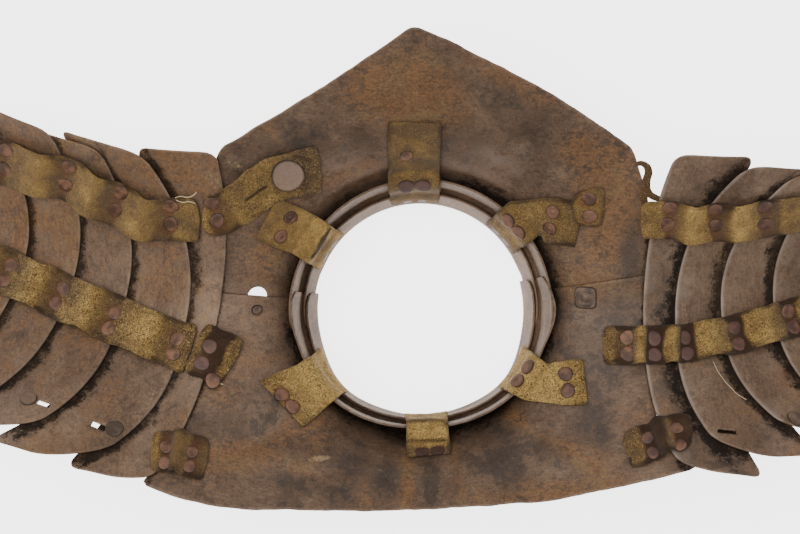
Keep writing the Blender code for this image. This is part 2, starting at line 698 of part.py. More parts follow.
def build_studs(iron, axis, parts, strips):
    """The strap's large stud, and the small one that shows in the keyhole."""
    strap = strips["right_stud_leather"]
    on_strap = strap.lift[strap.nearest(STUD["x"], STUD["y"])] + LEATHER / 2
    on_back = BACK_LAYER + PLATE / 2
    for name, stud, layer in (("strap_stud", STUD, on_strap), ("keyhole_stud", FASTENER, on_back)):
        spot = (on_form(stud["x"], stud["y"], layer + SEAT_GAP), form_normal(stud["x"], stud["y"]))
        mesh = heads_mesh(name, [spot], {**stud, "sunk": 0.0, "sides": STUD_SIDES})
        mesh.materials.append(iron)
        head = bpy.data.objects.new(name, mesh)
        head.parent = axis
        parts.objects.link(head)


def build_washer(iron, axis, parts):
    """The square washer with rounded corners over the side pivot, on the back plate."""
    block = bmesh.new()
    bmesh.ops.create_cube(block, size=1.0)
    size = Matrix.Diagonal((WASHER["side"] * MM, WASHER["side"] * MM, WASHER["thick"] * MM, 1.0))
    bmesh.ops.transform(block, matrix=size, verts=block.verts)
    upright = [edge for edge in block.edges if abs(edge.verts[0].co.z - edge.verts[1].co.z) > 0.5 * MM]
    bmesh.ops.bevel(
        block,
        geom=upright,
        offset=WASHER["corner"] * MM,
        segments=WASHER_BEVELS,
        profile=0.5,
        affect="EDGES",
    )
    mesh = bpy.data.meshes.new("pivot_washer")
    block.to_mesh(mesh)
    block.free()
    mesh.materials.append(iron)
    washer = bpy.data.objects.new("pivot_washer", mesh)
    washer.parent = axis
    layer = BACK_LAYER + PLATE / 2 + SEAT_GAP + WASHER["thick"] / 2
    seat = on_form(WASHER["x"], WASHER["y"], layer)
    washer.matrix_local = seat_matrix(seat, form_normal(WASHER["x"], WASHER["y"]))
    parts.objects.link(washer)


def main():
    clear_scene()
    parts = bpy.data.collections.new("almain_collar")
    cutters = bpy.data.collections.new("cutters")
    bpy.context.scene.collection.children.link(parts)
    bpy.context.scene.collection.children.link(cutters)
    axis = bpy.data.objects.new("neck_axis", None)
    axis.location = (NECK_X * MM, NECK_Y * MM, 0.0)
    parts.objects.link(axis)
    rusted, worn, leather, iron = (make_material(name) for name in COLOURS)
    build_plates(rusted, axis, parts, cutters)
    build_collar(worn, axis, parts)
    build_lames(rusted, axis, parts, cutters)
    strips = build_leathers(leather, axis, parts, cutters)
    build_studs(iron, axis, parts, strips)
    build_washer(iron, axis, parts)


main()
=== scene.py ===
"""Looks of an Almain collar: a steel gorget with laminated spaulders, lying inside up.

Sizes are millimetres from the neck's axis, on the plane that the collar's rim rests on, until a mesh
is made. Right and left are the wearer's, whose front is +Y and whose right is -X.
"""

import math
from collections import namedtuple

import bpy
import numpy as np
from bpy.props import FloatProperty, FloatVectorProperty, PointerProperty
from bpy.types import NodeSocket, Operator, Panel, PropertyGroup
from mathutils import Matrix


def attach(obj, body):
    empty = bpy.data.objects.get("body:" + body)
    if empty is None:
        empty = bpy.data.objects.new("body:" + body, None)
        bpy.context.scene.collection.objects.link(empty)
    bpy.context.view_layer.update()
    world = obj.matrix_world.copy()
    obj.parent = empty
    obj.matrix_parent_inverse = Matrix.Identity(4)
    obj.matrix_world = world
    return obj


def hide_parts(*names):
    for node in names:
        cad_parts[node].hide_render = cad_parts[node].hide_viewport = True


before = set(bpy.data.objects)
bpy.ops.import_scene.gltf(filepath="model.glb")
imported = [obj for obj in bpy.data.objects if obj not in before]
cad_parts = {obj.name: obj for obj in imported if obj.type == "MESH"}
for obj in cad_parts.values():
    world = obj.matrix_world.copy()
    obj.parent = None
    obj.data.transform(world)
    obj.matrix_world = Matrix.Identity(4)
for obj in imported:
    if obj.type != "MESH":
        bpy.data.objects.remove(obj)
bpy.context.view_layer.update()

bl_info = {
    "name": "Almain collar",
    "version": (1, 0, 0),
    "blender": (4, 5, 0),
    "location": "View3D > Sidebar > Collar",
    "description": "Dresses the frame of a steel gorget with laminated spaulders",
    "category": "Object",
}

MM = 0.001
NECK = np.array([1.9, -23.7, 0.0])

# Collar lames, as their middles: radius at the lower height, flare, heights, and the side tabs
RIM_LAME = {"radius": 68.6, "flare": 0.17, "low": 0.7, "high": 30.0, "tab": 0.0}
BASE_LAME = {"radius": 77.6, "flare": 0.11, "low": 24.0, "high": 56.0, "tab": 5.0}
BACK_INSET = 1.8
COLLAR_SPANS = {"front": (-9.0, 189.0), "back": (172.0, 375.0)}
TAB_DEG, TAB_BELOW = 19.0, 0.6
BASE_CURL, BASE_CURL_FROM, BASE_CURL_RUN = 2.7, 32.0, 8.0
BACK_FLAT, BACK_LOW, BACK_CORNERS = -6.4, 2.2, 3.4  # how the back is beaten in above and out below
TAB_SPREAD = (3.2, 0.8)  # how far the back base lame's tabs lean out, left and right
RIM_FLANGE = 5.0
LAP_STEP, LAP_RUN, LAP_RISE = 1.9, 24.0, 6.0

# The body's form: a flange at the neck, a quick turn outwards, then a steady slope
FLANGE_R, FLANGE_Z, TURN = 84.0, 48.0, 9.0
NECK_EDGE_R = 81.6  # the plates' own edge, turned down against the collar
SIDE_RISE, FRONT_RISE, BACK_RISE = 11.0, 22.0, 16.0
SIDE_SLOPE, FRONT_SLOPE, BACK_SLOPE = 0.10, 0.75, 0.70
LEAN_POWER, AHEAD_RUN = 1.3, 60.0

# The arm's form: a trough that droops outwards and deepens
ARM_ROOT_X, ARM_TOP_Z, ARM_DROOP, ARM_BEND = 125.0, 68.0, 0.28, 24.0
TROUGH_WIDTH, TROUGH_AT_ROOT, TROUGH_AT_ARM, TROUGH_RUN = 55.0, 0.62, 1.15, 85.0
ARM_BLEND_FROM, ARM_BLEND_TO = 112.0, 165.0
ARMS = {
    "right": {"side": -1, "root_y": -8.0, "yaw": 17.0},
    "left": {"side": 1, "root_y": -2.0, "yaw": 3.0},
}

# Plates: their layers on the form, spans round the neck, and outlines in plan
FRONT_LAYER, BACK_LAYER = -1.05, 1.05
FRONT_SPAN_DEG, BACK_SPAN_DEG = (-6.0, 186.0), (175.0, 369.0)
PLATES_END_X, PLATES_MEET_Y = 150.0, 12.0
FRONT_OUTLINE = (
    # x, y, bulge of the side that follows
    (150.0, -18.0, 0.0),
    (150.0, 22.0, 0.0),
    (142.0, 46.0, 0.0),
    (128.0, 97.0, 5.0),
    (-5.6, 168.0, -1.5),
    (-121.0, 98.5, 0.0),
    (-136.0, 60.0, 0.0),
    (-137.0, -16.0, 0.0),
)
BACK_OUTLINE = (
    (-132.0, 16.0, 0.0),
    (-141.0, -50.0, -5.0),
    (-169.0, -103.0, 5.0),
    (-83.0, -119.5, 3.0),
    (72.0, -115.0, 1.5),
    (167.0, -93.5, -11.0),
    (144.0, -45.0, 0.0),
    (143.0, 24.0, 0.0),
)
OUTLINE_ROUNDING, OUTLINE_POINTS, SIDE_POINTS = 9.0, 900, 50
KEYHOLE = {"x": -101.4, "y": 8.6, "radius": 6.2}

# Arm lames, nearest the neck first. Each one's outer edge lies under the next one's inner edge.
# middle, end: width there; corner: how far the back corner is cut; inner, outer: its edges' layers
LAMES = (
    {"middle": 46.0, "end": 46.0, "corner": 0.06, "inner": 4.3, "outer": -2.2},
    {"middle": 52.0, "end": 54.0, "corner": 0.14, "inner": 3.6, "outer": -1.0},
    {"middle": 47.0, "end": 54.0, "corner": 0.14, "inner": 3.1, "outer": -1.2},
    {"middle": 47.0, "end": 52.0, "corner": 0.14, "inner": 2.8, "outer": -1.2},
    {"middle": 46.0, "end": 52.0, "corner": 0.14, "inner": 2.8, "outer": -1.2},
    {"middle": 54.0, "end": 52.0, "corner": 0.14, "inner": 2.8, "outer": -2.6},
)
SWEEP_POWER, FRONT_CORNER = 2.6, 0.015
FRONT_TRIM = {("left", 0): 0.055, ("right", 1): -0.02}
FRONT_CORNER_RUN, BACK_CORNER_RUN = 0.25, 0.55
LAME_ROUNDING = 5.0
# Each crescent's place in plan: its inner edge's middle, its turn, its two halves and how far
# each half sweeps outwards, and its ends' slope. The sides differ, as old leathers let them hang.
POSE_COLUMNS = ("x", "y", "yaw", "front", "back", "ahead", "behind", "trim")
LAME_POSES = {
    "right": (
        (126.5, -5.0, 9.0, 102.0, 106.0, 15.0, 24.0, 0.08),
        (146.0, -13.0, 11.0, 104.0, 90.0, 43.0, 44.0, 0.08),
        (187.0, -5.0, 16.0, 99.0, 84.0, 37.0, 37.0, 0.02),
        (222.0, 7.0, 19.0, 97.0, 80.0, 38.0, 30.0, 0.0),
        (255.0, 16.0, 20.0, 86.0, 76.0, 37.0, 30.0, 0.0),
        (286.0, 26.0, 21.0, 82.0, 72.0, 36.0, 28.0, 0.0),
    ),
    "left": (
        (137.0, -5.0, 0.0, 102.0, 92.0, 17.0, 21.0, 0.0),
        (156.5, -8.0, 0.0, 98.0, 82.0, 40.0, 30.0, 0.05),
        (187.0, -6.0, 4.0, 88.0, 76.0, 46.0, 40.0, 0.05),
        (221.0, 3.0, 4.0, 84.0, 78.0, 44.0, 42.0, 0.0),
        (254.0, 6.0, 5.0, 82.0, 74.0, 42.0, 40.0, 0.0),
        (286.0, 9.0, 6.0, 80.0, 72.0, 40.0, 38.0, 0.0),
    ),
}
LAME_RIVETS = (
    # arm, lame's place in the table, x, y
    ("right", 1, -187.0, -73.0),
    ("right", 2, -239.0, -55.0),
    ("left", 2, 228.0, -68.0),
)
LAME_SLOTS = (
    # arm, lame's place in the table, x, y, length, width, turn in degrees
    ("right", 1, -196.0, -71.0, 9.0, 4.2, -20.0),
    ("right", 2, -229.0, -58.0, 9.0, 3.6, -25.0),
    ("left", 1, 185.0, -75.0, 11.0, 3.0, -8.0),
)
SLOT_DEPTH = 12.0

# Wear of the metal. The dents are shared by all that lies on the form, so layers stay parallel.
DENTS = ((0.9, 75.0, 1), (0.35, 24.0, 2))  # height, cell, seed
DENTS_FROM, DENTS_RUN = 92.0, 30.0
HAMMER_HEIGHT, HAMMER_CELL = 0.13, 9.0
CREASES = (
    # from x, y to x, y, height, half width
    (-74.0, -63.0, -126.0, -94.0, -2.0, 6.0),
    (-56.0, -76.0, -110.0, -99.0, 2.0, 7.0),
    (-30.0, -92.0, -92.0, -108.0, -1.6, 6.0),
    (64.0, -70.0, 96.0, -104.0, 1.8, 9.0),
    (30.0, -92.0, 60.0, -112.0, -1.2, 7.0),
    (-93.0, 112.0, -71.0, 86.0, 2.2, 5.0),
    (-124.0, 94.0, -102.0, 82.0, 1.6, 5.0),
    (-64.0, 84.0, -44.0, 66.0, 1.8, 5.0),
    (40.0, 92.0, 90.0, 120.0, -1.8, 9.0),
    (60.0, 74.0, 108.0, 84.0, 1.4, 8.0),
)
LAME_CROWN = 0.8

RUST_PATCHES = (
    # x, y, half length, half width, turn in degrees, strength
    (-6.0, 132.0, 36.0, 24.0, 0.0, 1.0),
    (14.0, 118.0, 24.0, 14.0, 20.0, 0.5),
    (50.0, 138.0, 28.0, 7.0, -30.0, 0.6),
    (94.0, 99.0, 14.0, 12.0, 0.0, 0.8),
    (112.0, 60.0, 20.0, 40.0, 0.0, 0.9),
    (106.0, 18.0, 30.0, 14.0, 0.0, 0.7),
    (-82.0, 100.0, 26.0, 4.5, -48.0, 1.0),
    (-46.0, 86.0, 26.0, 8.0, 20.0, 0.6),
    (-95.0, 36.0, 14.0, 26.0, 0.0, 0.5),
    (-118.0, -88.0, 36.0, 12.0, -10.0, 0.8),
    (-92.0, -88.0, 26.0, 5.0, -24.0, 0.6),
    (-8.0, -100.0, 4.0, 18.0, 0.0, 0.6),
    (22.0, -96.0, 6.0, 22.0, 0.0, 0.8),
    (84.0, -84.0, 40.0, 6.0, -32.0, 0.8),
    (100.0, -108.0, 46.0, 8.0, 6.0, 0.8),
    (130.0, -84.0, 26.0, 12.0, 10.0, 0.8),
    (132.0, 16.0, 16.0, 8.0, 0.0, 0.6),
    (-100.0, -30.0, 14.0, 24.0, 0.0, 0.4),
)
SCALE_PATCHES = (
    (-74.0, 104.0, 26.0, 14.0, 25.0, 0.9),
    (-40.0, 102.0, 26.0, 12.0, 20.0, 0.7),
    (-104.0, 86.0, 18.0, 8.0, 20.0, 0.7),
    (14.0, 100.0, 14.0, 8.0, 0.0, 0.7),
    (46.0, 128.0, 34.0, 10.0, -28.0, 0.8),
    (62.0, 96.0, 26.0, 14.0, 0.0, 0.55),
    (34.0, 100.0, 14.0, 20.0, 0.0, 0.6),
    (128.0, 34.0, 7.0, 24.0, 0.0, 1.0),
    (40.0, 72.0, 26.0, 10.0, -30.0, 0.6),
    (-44.0, -94.0, 34.0, 9.0, -14.0, 1.0),
    (-70.0, -106.0, 30.0, 6.0, -12.0, 0.9),
    (-24.0, -104.0, 20.0, 10.0, 0.0, 0.9),
    (6.0, -104.0, 7.0, 16.0, 0.0, 0.8),
    (46.0, -96.0, 20.0, 14.0, 0.0, 1.0),
    (64.0, -82.0, 30.0, 8.0, -20.0, 0.7),
    (108.0, -62.0, 14.0, 20.0, 0.0, 1.0),
    (118.0, -44.0, 10.0, 16.0, 0.0, 0.7),
    (-100.0, -74.0, 24.0, 9.0, 24.0, 0.7),
    (-80.0, -40.0, 16.0, 20.0, 0.0, 0.5),
    (-76.0, -20.0, 10.0, 16.0, 0.0, 0.7),
    (84.0, 0.0, 9.0, 22.0, 0.0, 0.7),
    (121.0, -4.0, 28.0, 22.0, 0.0, 0.75),
    (112.0, -34.0, 22.0, 18.0, 0.0, 0.6),
    (-104.0, -50.0, 22.0, 22.0, 0.0, 0.5),
    (60.0, 58.0, 22.0, 10.0, -30.0, 0.5),
)
LAME_FLAKES = (
    (183.5, 30.0, 15.0, 1.7, 82.0, 1.0),
    (178.4, 76.2, 2.6, 1.4, 0.0, 1.0),
    (166.0, 22.0, 20.0, 1.4, 84.0, 0.55),
    (194.0, 18.0, 22.0, 1.2, 84.0, 0.5),
    (-150.0, -66.0, 14.0, 1.6, 62.0, 0.6),
    (-200.0, -52.0, 18.0, 1.6, 62.0, 0.5),
)
# Pale scale; the patches on the front plate's folds at the wearer's right are painted highlights.
PALE_AND_HIGHLIGHT_PATCHES = (
    (53.0, 129.0, 17.0, 3.0, 24.0, 0.5),
    (-62.0, -91.0, 10.0, 2.6, 4.0, 0.9),
    (-100.0, -78.0, 7.0, 1.6, 20.0, 0.6),
    (-53.0, 74.0, 9.0, 4.0, 45.0, 0.6),
    (-112.0, 88.0, 14.0, 3.5, -24.0, 0.7),
    (-78.0, -30.0, 5.0, 12.0, 0.0, 0.5),
    (20.0, -78.0, 12.0, 4.0, 20.0, 0.5),
    (94.0, 20.0, 5.0, 12.0, 0.0, 0.5),
    (104.0, -56.0, 5.0, 10.0, 0.0, 0.4),
)

# Shoulder leathers: route in plan, widths, the middles of their rivet pairs, and their look.
# nap: how hairy; tan: how golden, raised on the bulges as a painted highlight; soot_and_shade: how
# scorched, and how dark the painted shade; ragged: how far the edge strays; slant: how far each end leans.
LEATHER, PLATE, LEATHER_GAP = 2.2, 1.4, 0.5
# Optional: swell, between rivets; head and spacing of the rivets; dim: how greasy each pair is;
# single: rivets that are not in pairs; grooves: cuts, as x, y to x, y, depth and half width
STRAPS = {
    "right_front_leather": {
        "route": ((-134.2, 58), (-154, 59), (-171, 61), (-185, 68), (-217, 84), (-256, 94), (-296, 104)),
        "widths": (25, 25),
        "rivets": ((-153, 59), (-185, 68), (-217, 82), (-257, 95), (-289, 102)),
        "dim": (0.0, 0.0, 0.0, 0.1, 0.1), "spacing": 10.6, "head": 5.3, "swell": 4.2,
        "look": {"nap": 0.35, "tan": 0.35, "soot_and_shade": 0.6, "ragged": 0.5, "slant": (-0.3, 0.0)},
    },
    "right_stud_leather": {
        "route": ((-134, 61), (-126, 60), (-104, 73), (-89, 82), (-81, 84), (-67, 86), (-61, 87)),
        "widths": (23, 26),
        "rivets": ((-126, 61),),
        "grooves": ((-93.0, 78.0, -110.0, 69.0, 1.3, 1.2), (-80.0, 96.0, -66.0, 92.0, 0.7, 2.0)),
        "dim": (0.35,),
        "look": {"nap": 0.7, "tan": 0.62, "soot_and_shade": 0.5, "ragged": 0.7, "slant": (-0.3, 0.3), "far": -0.75},
    },
    "right_middle_leather": {
        "route": ((-140.3, -25.3), (-165, -18), (-187, -8), (-215, 3), (-228, 9), (-266, 25), (-300, 38)),
        "widths": (30, 30),
        "rivets": ((-152, -21), (-192, -6), (-226, 8), (-261, 23), (-293, 36)),
        "dim": (0.0, 0.15, 0.4, 0.3, 0.3), "swell": 4.8,
        "look": {"nap": 1.0, "tan": 0.5, "soot_and_shade": 0.6, "ragged": 0.9, "slant": (0.0, 0.0)},
    },
    "right_middle_patch": {
        "route": ((-139.8, -23.6), (-129, -28), (-116, -34)),
        "widths": (34, 29),
        "rivets": ((-132.5, -26),),
        "single": ((-127.5, -43.0),),
        "dim": (0.75,), "spacing": 11.5, "head": 5.0,
        "grooves": ((-121.5, -24.0, -125.0, -36.0, 1.2, 1.0), (-127.0, -36.0, -131.0, -44.0, 0.8, 1.2)),
        "look": {"nap": 0.9, "tan": 0.45, "soot_and_shade": 0.75, "ragged": 1.3, "slant": (0.0, 0.15)},
    },
    "right_back_leather": {
        "route": ((-165, -87), (-150, -87), (-130, -91)),
        "widths": (21, 24),
        "rivets": ((-155, -86), (-139, -89)),
        "spacing": 8.8, "head": 4.3,
        "look": {"nap": 0.4, "tan": 0.3, "soot_and_shade": 0.6, "ragged": 0.6, "slant": (0.1, -0.15)},
    },
    "left_front_leather": {
        "route": ((133, 58), (151, 59), (169, 56), (178, 58), (197, 58), (233, 63), (263, 66), (297, 69)),
        "widths": (22, 20),
        "rivets": ((150, 59), (179, 58), (209, 60), (262, 66), (290, 68)),
        "dim": (0.3, 0.6, 0.5, 0.3, 0.3), "swell": 2.8, "head": 4.8,
        "look": {"nap": 0.5, "tan": 0.6, "soot_and_shade": 0.55, "ragged": 0.7, "slant": (0.1, 0.0)},
    },
    "left_middle_leather": {
        "route": ((112, -22), (142, -22), (162, -22), (195, -16), (231, -6), (270, 4), (304, 12)),
        "widths": (22, 26),
        "rivets": ((127, -22), (143, -22), (163, -21), (195, -15), (231, -6), (264, 3), (296, 10)),
        "dim": (0.1, 0.9, 0.9, 0.6, 0.4, 0.4, 0.3), "swell": 4.6,
        "look": {"nap": 0.8, "tan": 0.5, "soot_and_shade": 0.85, "ragged": 0.8, "slant": (0.0, 0.0), "band": (-1.0, 7.5)},
    },
    "left_back_leather": {
        "route": ((124, -85), (138, -82), (153, -76), (165, -75)),
        "widths": (21, 18),
        "rivets": ((139, -82), (155, -76)),
        "dim": (0.6, 0.3), "spacing": 8.8, "head": 4.2,
        "look": {"nap": 0.5, "tan": 0.05, "soot_and_shade": 0.85, "ragged": 1.5, "slant": (0.0, 0.2)},
    },
    "front_remnant": {
        "route": ((103, 51), (102, 63), (101, 76)),
        "widths": (15, 17),
        "rivets": (),
        "single": ((103, 58), (102, 69)),
        "dim": (0.35, 0.35), "head": 4.7,
        "look": {"nap": 0.4, "tan": 0.35, "soot_and_shade": 0.7, "ragged": 2.4, "slant": (0.25, -0.3), "stain": 0.2},
    },
}
UNDER_SHARE, UNDER_RAYS = 0.55, 7
LIFT_SPREAD, LIFT_EVEN, ROUTE_EVEN = 9, 5, 5
STRAP_CORNER = 5.0
STRAP_SWELL, SWELL_SPAN, SWELL_SKEW = 5.0, (14.0, 45.0), 0.8
PAIR_SPACING, HEAD_RADIUS, HEAD_HEIGHT, HEAD_SINK = 10.2, 4.9, 0.9, 0.2
LEVEL_HALF = 4.6  # how far to each side of a rivet pair the leather lies level
SWELL_START = 0.7 * LEVEL_HALF
ROUTE_BEYOND, LEVEL_EVEN = 20.0, 2
Head = namedtuple("Head", "seat normal radius height dim kind")
LEATHER_CELL = 1.25

# Torn hide that hangs from the left front leather, and loose threads: route, width, thickness and
# height over the form
SHREDS = {
    "left_front_leather_shred_outer": {
        "route": ((129.5, 90.6), (133.4, 91.4), (136.6, 89.0), (137.6, 85.4), (136.4, 82.2), (135.9, 78.2),
                  (136.6, 74.6), (139.6, 71.6), (145.2, 69.6)),
        "width": 3.4, "thick": 1.5, "lift": 3.2,
    },
    "left_front_leather_shred_inner": {
        "route": ((135.8, 79.0), (135.4, 75.0), (134.8, 71.0), (136.2, 67.0)),
        "width": 3.6, "thick": 1.5, "lift": 3.0,
    },
}
THREADS = {
    "left_middle_leather_thread": {
        "route": ((179.5, -33.0), (182.0, -39.5), (187.0, -47.0), (192.5, -53.0), (198.5, -57.0)),
        "width": 0.22, "thick": 0.3, "lift": 4.6,
    },
    "right_front_leather_thread_upper": {
        "route": ((-149.0, 73.0), (-145.5, 74.2), (-142.0, 73.0), (-138.5, 73.8), (-136.5, 76.4)),
        "width": 0.5, "thick": 0.35, "lift": 7.6,
    },
    "right_front_leather_thread_lower": {
        "route": ((-148.5, 72.0), (-144.5, 69.8), (-140.5, 70.6), (-137.0, 69.0)),
        "width": 0.45, "thick": 0.35, "lift": 7.6,
    },
    "right_middle_patch_thread": {
        "route": ((-133.0, -44.0), (-130.0, -46.5), (-126.0, -45.0), (-122.0, -46.0)),
        "width": 0.6, "thick": 0.5, "lift": 4.0,
    },
}

# Rows of heads on the neck leathers: place, count, spacing, radius, height, how greasy, kind
PLATE_PAIR = ("plate", 2, 10.4, 4.7, 0.9, 0.25, "rivets")
RING_PAIR = ("plate", 2, 13.2, 4.5, 0.9, 0.2, "washers")
BASE_PAIR = ("base", 2, 10.0, 4.9, 0.8, 0.3, "rivets")
RIM_PAIR = ("rim", 2, 9.2, 3.6, 0.4, 0.6, "rivets")

# Neck leathers: where each lies round the collar and on its plate, in degrees, its reach, how its
# width runs from the plate to the rim, and its look
NECK_LEATHERS = {
    "neck_leather_front": {
        "collar": 93, "end": (-4.3, 115.0), "width": 30, "heads_at": 96.5, "half": "front",
        "rows": (("plate", 1, 11.0, 4.2, 0.9, 0.1, "rivets"), ("base", 2, 10.6, 5.4, 0.5, 0.9, "rivets"),
                 RIM_PAIR),
        "shape": (1.04, 1.0, 1.02, 0.95),
        "look": {"nap": 0.25, "tan": 0.1, "soot_and_shade": 0.55, "ragged": 0.5, "slant": (0.05, 0.0)},
    },
    "neck_leather_front_right": {
        "collar": 147, "end": (-95.5, 57.5), "width": 25, "heads_at": 99.0, "half": "front", "slant": 0.1,
        "rows": (RING_PAIR, RIM_PAIR),
        "shape": (1.1, 1.06, 1.0, 1.05),
        "grooves": ((-57.5, 52.5, -61.5, 46.5, 1.0, 0.8), (-61.0, 47.5, -65.5, 38.5, 1.3, 1.3),
                    (-64.5, 40.0, -70.0, 32.5, 1.0, 1.0)),
        "look": {"nap": 0.35, "tan": 0.45, "soot_and_shade": 0.45, "ragged": 0.5, "slant": (0.1, 0.0)},
    },
    "neck_leather_back_right": {
        "collar": 214.5, "end": (-87.0, -58.4), "width": 28, "heads_at": 99.5, "half": "back", "slant": -0.22,
        "rows": (PLATE_PAIR, RIM_PAIR),
        "shape": (1.32, 1.1, 1.0, 1.1),
        "look": {"nap": 0.9, "tan": 0.75, "soot_and_shade": 0.4, "ragged": 0.7, "slant": (0.0, 0.0)},
    },
    "neck_leather_back": {
        "collar": 273, "end": (4.9, -91.5), "width": 26, "heads_at": 87.5, "half": "back",
        "rows": (("plate", 2, 10.4, 4.6, 0.45, 1.0, "rivets"), RIM_PAIR),
        "grooves": ((-12.0, -80.5, 18.0, -80.0, 0.8, 1.4), (-12.0, -70.0, 18.0, -69.0, 0.8, 1.2)),
        "shape": (0.98, 1.0, 1.0, 0.98),
        "look": {"nap": 0.7, "tan": 0.6, "soot_and_shade": 0.6, "ragged": 0.6, "slant": (0.0, 0.0)},
    },
    "neck_leather_back_left": {
        "collar": 328, "end": (101.5, -44.5), "width": 25, "heads_at": 100.0, "half": "back",
        "rows": (("plate", 2, 10.4, 4.7, 0.8, 0.5, "rivets"), BASE_PAIR, RIM_PAIR),
        "shape": (1.05, 1.0, 1.12, 1.1),
        "look": {"nap": 1.0, "tan": 0.9, "soot_and_shade": 0.45, "ragged": 0.7, "slant": (0.0, 0.0)},
    },
    "neck_leather_front_left": {
        "collar": 42, "end": (97.0, 53.5), "width": 26, "heads_at": 98.5, "half": "front",
        "rows": (RING_PAIR, BASE_PAIR, RIM_PAIR),
        "shape": (1.0, 1.05, 0.95, 0.95),
        "look": {"nap": 0.6, "tan": 0.25, "soot_and_shade": 0.8, "ragged": 0.6, "slant": (0.0, 0.0)},
    },
}
# From the plate over the base lame's near edge, down across it, over the rim lame's and down
NECK_PATH = (
    # radius, height
    (84.6, 59.6),
    (82.0, 59.9),
    (80.0, 58.9),
    (77.9, 57.2),
    (76.3, 54.4),
    (75.7, 50.0),
    (75.5, 44.0),
    (75.4, 38.5),
    (74.6, 35.0),
    (72.9, 32.6),
    (71.3, 29.8),
    (70.5, 25.0),
    (69.4, 18.0),
)
NECK_PATH_PLATE = 88.0
HEADS_AT = {"base": (77.9, 57.2), "rim": (70.2, 23.0)}  # radius, height

SEAT_GAP = 0.8
FLOOR_HALF, FLOOR_GAP = 3000.0, 0.05
FLOOR_CORNERS = ((-1, -1), (1, -1), (1, 1), (-1, 1))
STUD = {"x": -82.2, "y": 84.6, "radius": 10.4, "height": 2.2}
FASTENER = {"x": -102.5, "y": 0.6, "radius": 3.3, "height": 2.4}
WASHER = {"x": 102.2, "y": 8.5, "side": 13.5, "thick": 1.6}

# Turned outlines of the small ironwork: share of the radius, share of the height
DOME_PROFILE = (
    (0.0, 0.92), (0.3, 0.97), (0.55, 1.0), (0.76, 0.92), (0.9, 0.74), (0.98, 0.42), (1.0, 0.0), (1.0, -0.4)
)
DISC_PROFILE = (
    (0.0, 0.8), (0.3, 0.82), (0.6, 0.86), (0.82, 0.93), (0.91, 1.0), (0.97, 0.86), (1.0, 0.55), (1.0, -0.2)
)
RING_PROFILE = (
    (0.0, 0.95), (0.22, 0.85), (0.36, 0.5), (0.44, 0.3), (0.55, 0.62), (0.66, 0.72), (0.76, 0.42),
    (0.84, 0.3), (0.93, 0.42), (1.0, 0.2), (1.0, -0.4),
)


def linear(hex_colour):
    """A #rrggbb sRGB colour as linear red, green and blue."""
    value = np.array([int(hex_colour[i : i + 2], 16) for i in (1, 3, 5)]) / 255.0
    return tuple(np.where(value <= 0.04045, value / 12.92, ((value + 0.055) / 1.055) ** 2.4))


# ---- Shapes in numbers


def smooth(t):
    """An even step from 0 to 1."""
    t = np.clip(t, 0.0, 1.0)
    return t * t * (3.0 - 2.0 * t)


def mix(a, b, t):
    return a + (b - a) * t


def bell(distance, width):
    return np.exp(-((distance / width) ** 2))


def lattice(i, j, seed):
    """A fixed random height for each lattice corner: the fraction of a large sine."""
    value = np.sin(i * 127.1 + j * 311.7 + seed * 74.7) * 43758.5453
    return value - np.floor(value)


def ripple(x, y, cell, seed):
    """Value noise, -1 to 1: lattice heights on turned cells of that size, joined by even steps."""
    turn = 0.6 + 1.7 * seed
    u = (x * math.cos(turn) + y * math.sin(turn)) / cell
    v = (y * math.cos(turn) - x * math.sin(turn)) / cell
    i, j = np.floor(u), np.floor(v)
    p, q = smooth(u - i), smooth(v - j)
    near = mix(lattice(i, j, seed), lattice(i + 1, j, seed), p)
    far = mix(lattice(i, j + 1, seed), lattice(i + 1, j + 1, seed), p)
    return 2.0 * mix(near, far, q) - 1.0


def cloud(x, y, cell, seed):
    """Three ripples, each about half as large and half as high as the one before."""
    return (ripple(x, y, cell, seed) + 0.5 * ripple(x, y, cell / 2.1, seed + 3)
            + 0.25 * ripple(x, y, cell / 4.3, seed + 7)) / 1.4


def patches(x, y, table):
    """Soft ellipses: the highest over the table of strength times a bell of the scaled distance."""
    top = np.zeros(np.broadcast(x, y).shape)
    for px, py, length, width, turn, strength in table:
        turn = math.radians(turn)
        along = (x - px) * math.cos(turn) + (y - py) * math.sin(turn)
        across = (y - py) * math.cos(turn) - (x - px) * math.sin(turn)
        top = np.maximum(top, strength * bell(np.hypot(along / length, across / width), 1.0))
    return top


def creases(x, y):
    """Straight folds: a bell across each line, rising and falling along it as a squared sine."""
    height = np.zeros(np.broadcast(x, y).shape)
    for x0, y0, x1, y1, lift, width in CREASES:
        length = math.hypot(x1 - x0, y1 - y0)
        ux, uy = (x1 - x0) / length, (y1 - y0) / length
        along = ((x - x0) * ux + (y - y0) * uy) / length
        across = (y - y0) * ux - (x - x0) * uy
        height += lift * bell(across, width) * np.sin(math.pi * np.clip(along, 0, 1)) ** 2
    return height


def dents(x, y):
    """Long shallow waves and folds, none of them near the collar."""
    fade = smooth((np.hypot(x, y) - DENTS_FROM) / DENTS_RUN)
    waves = sum(height * ripple(x, y, cell, seed) for height, cell, seed in DENTS)
    return fade * (waves + creases(x, y))


def body_height(x, y):
    """Flange, quick turn and slope, each steeper to the front and back than to the sides."""
    radius = np.hypot(x, y)
    out = radius - FLANGE_R
    lean = np.abs(y / radius) ** LEAN_POWER
    ahead = smooth(0.5 + y / AHEAD_RUN)
    rise = mix(SIDE_RISE, mix(BACK_RISE, FRONT_RISE, ahead), lean)
    slope = mix(SIDE_SLOPE, mix(BACK_SLOPE, FRONT_SLOPE, ahead), lean)
    return FLANGE_Z + rise * (1.0 - np.exp(-out / TURN)) + slope * out


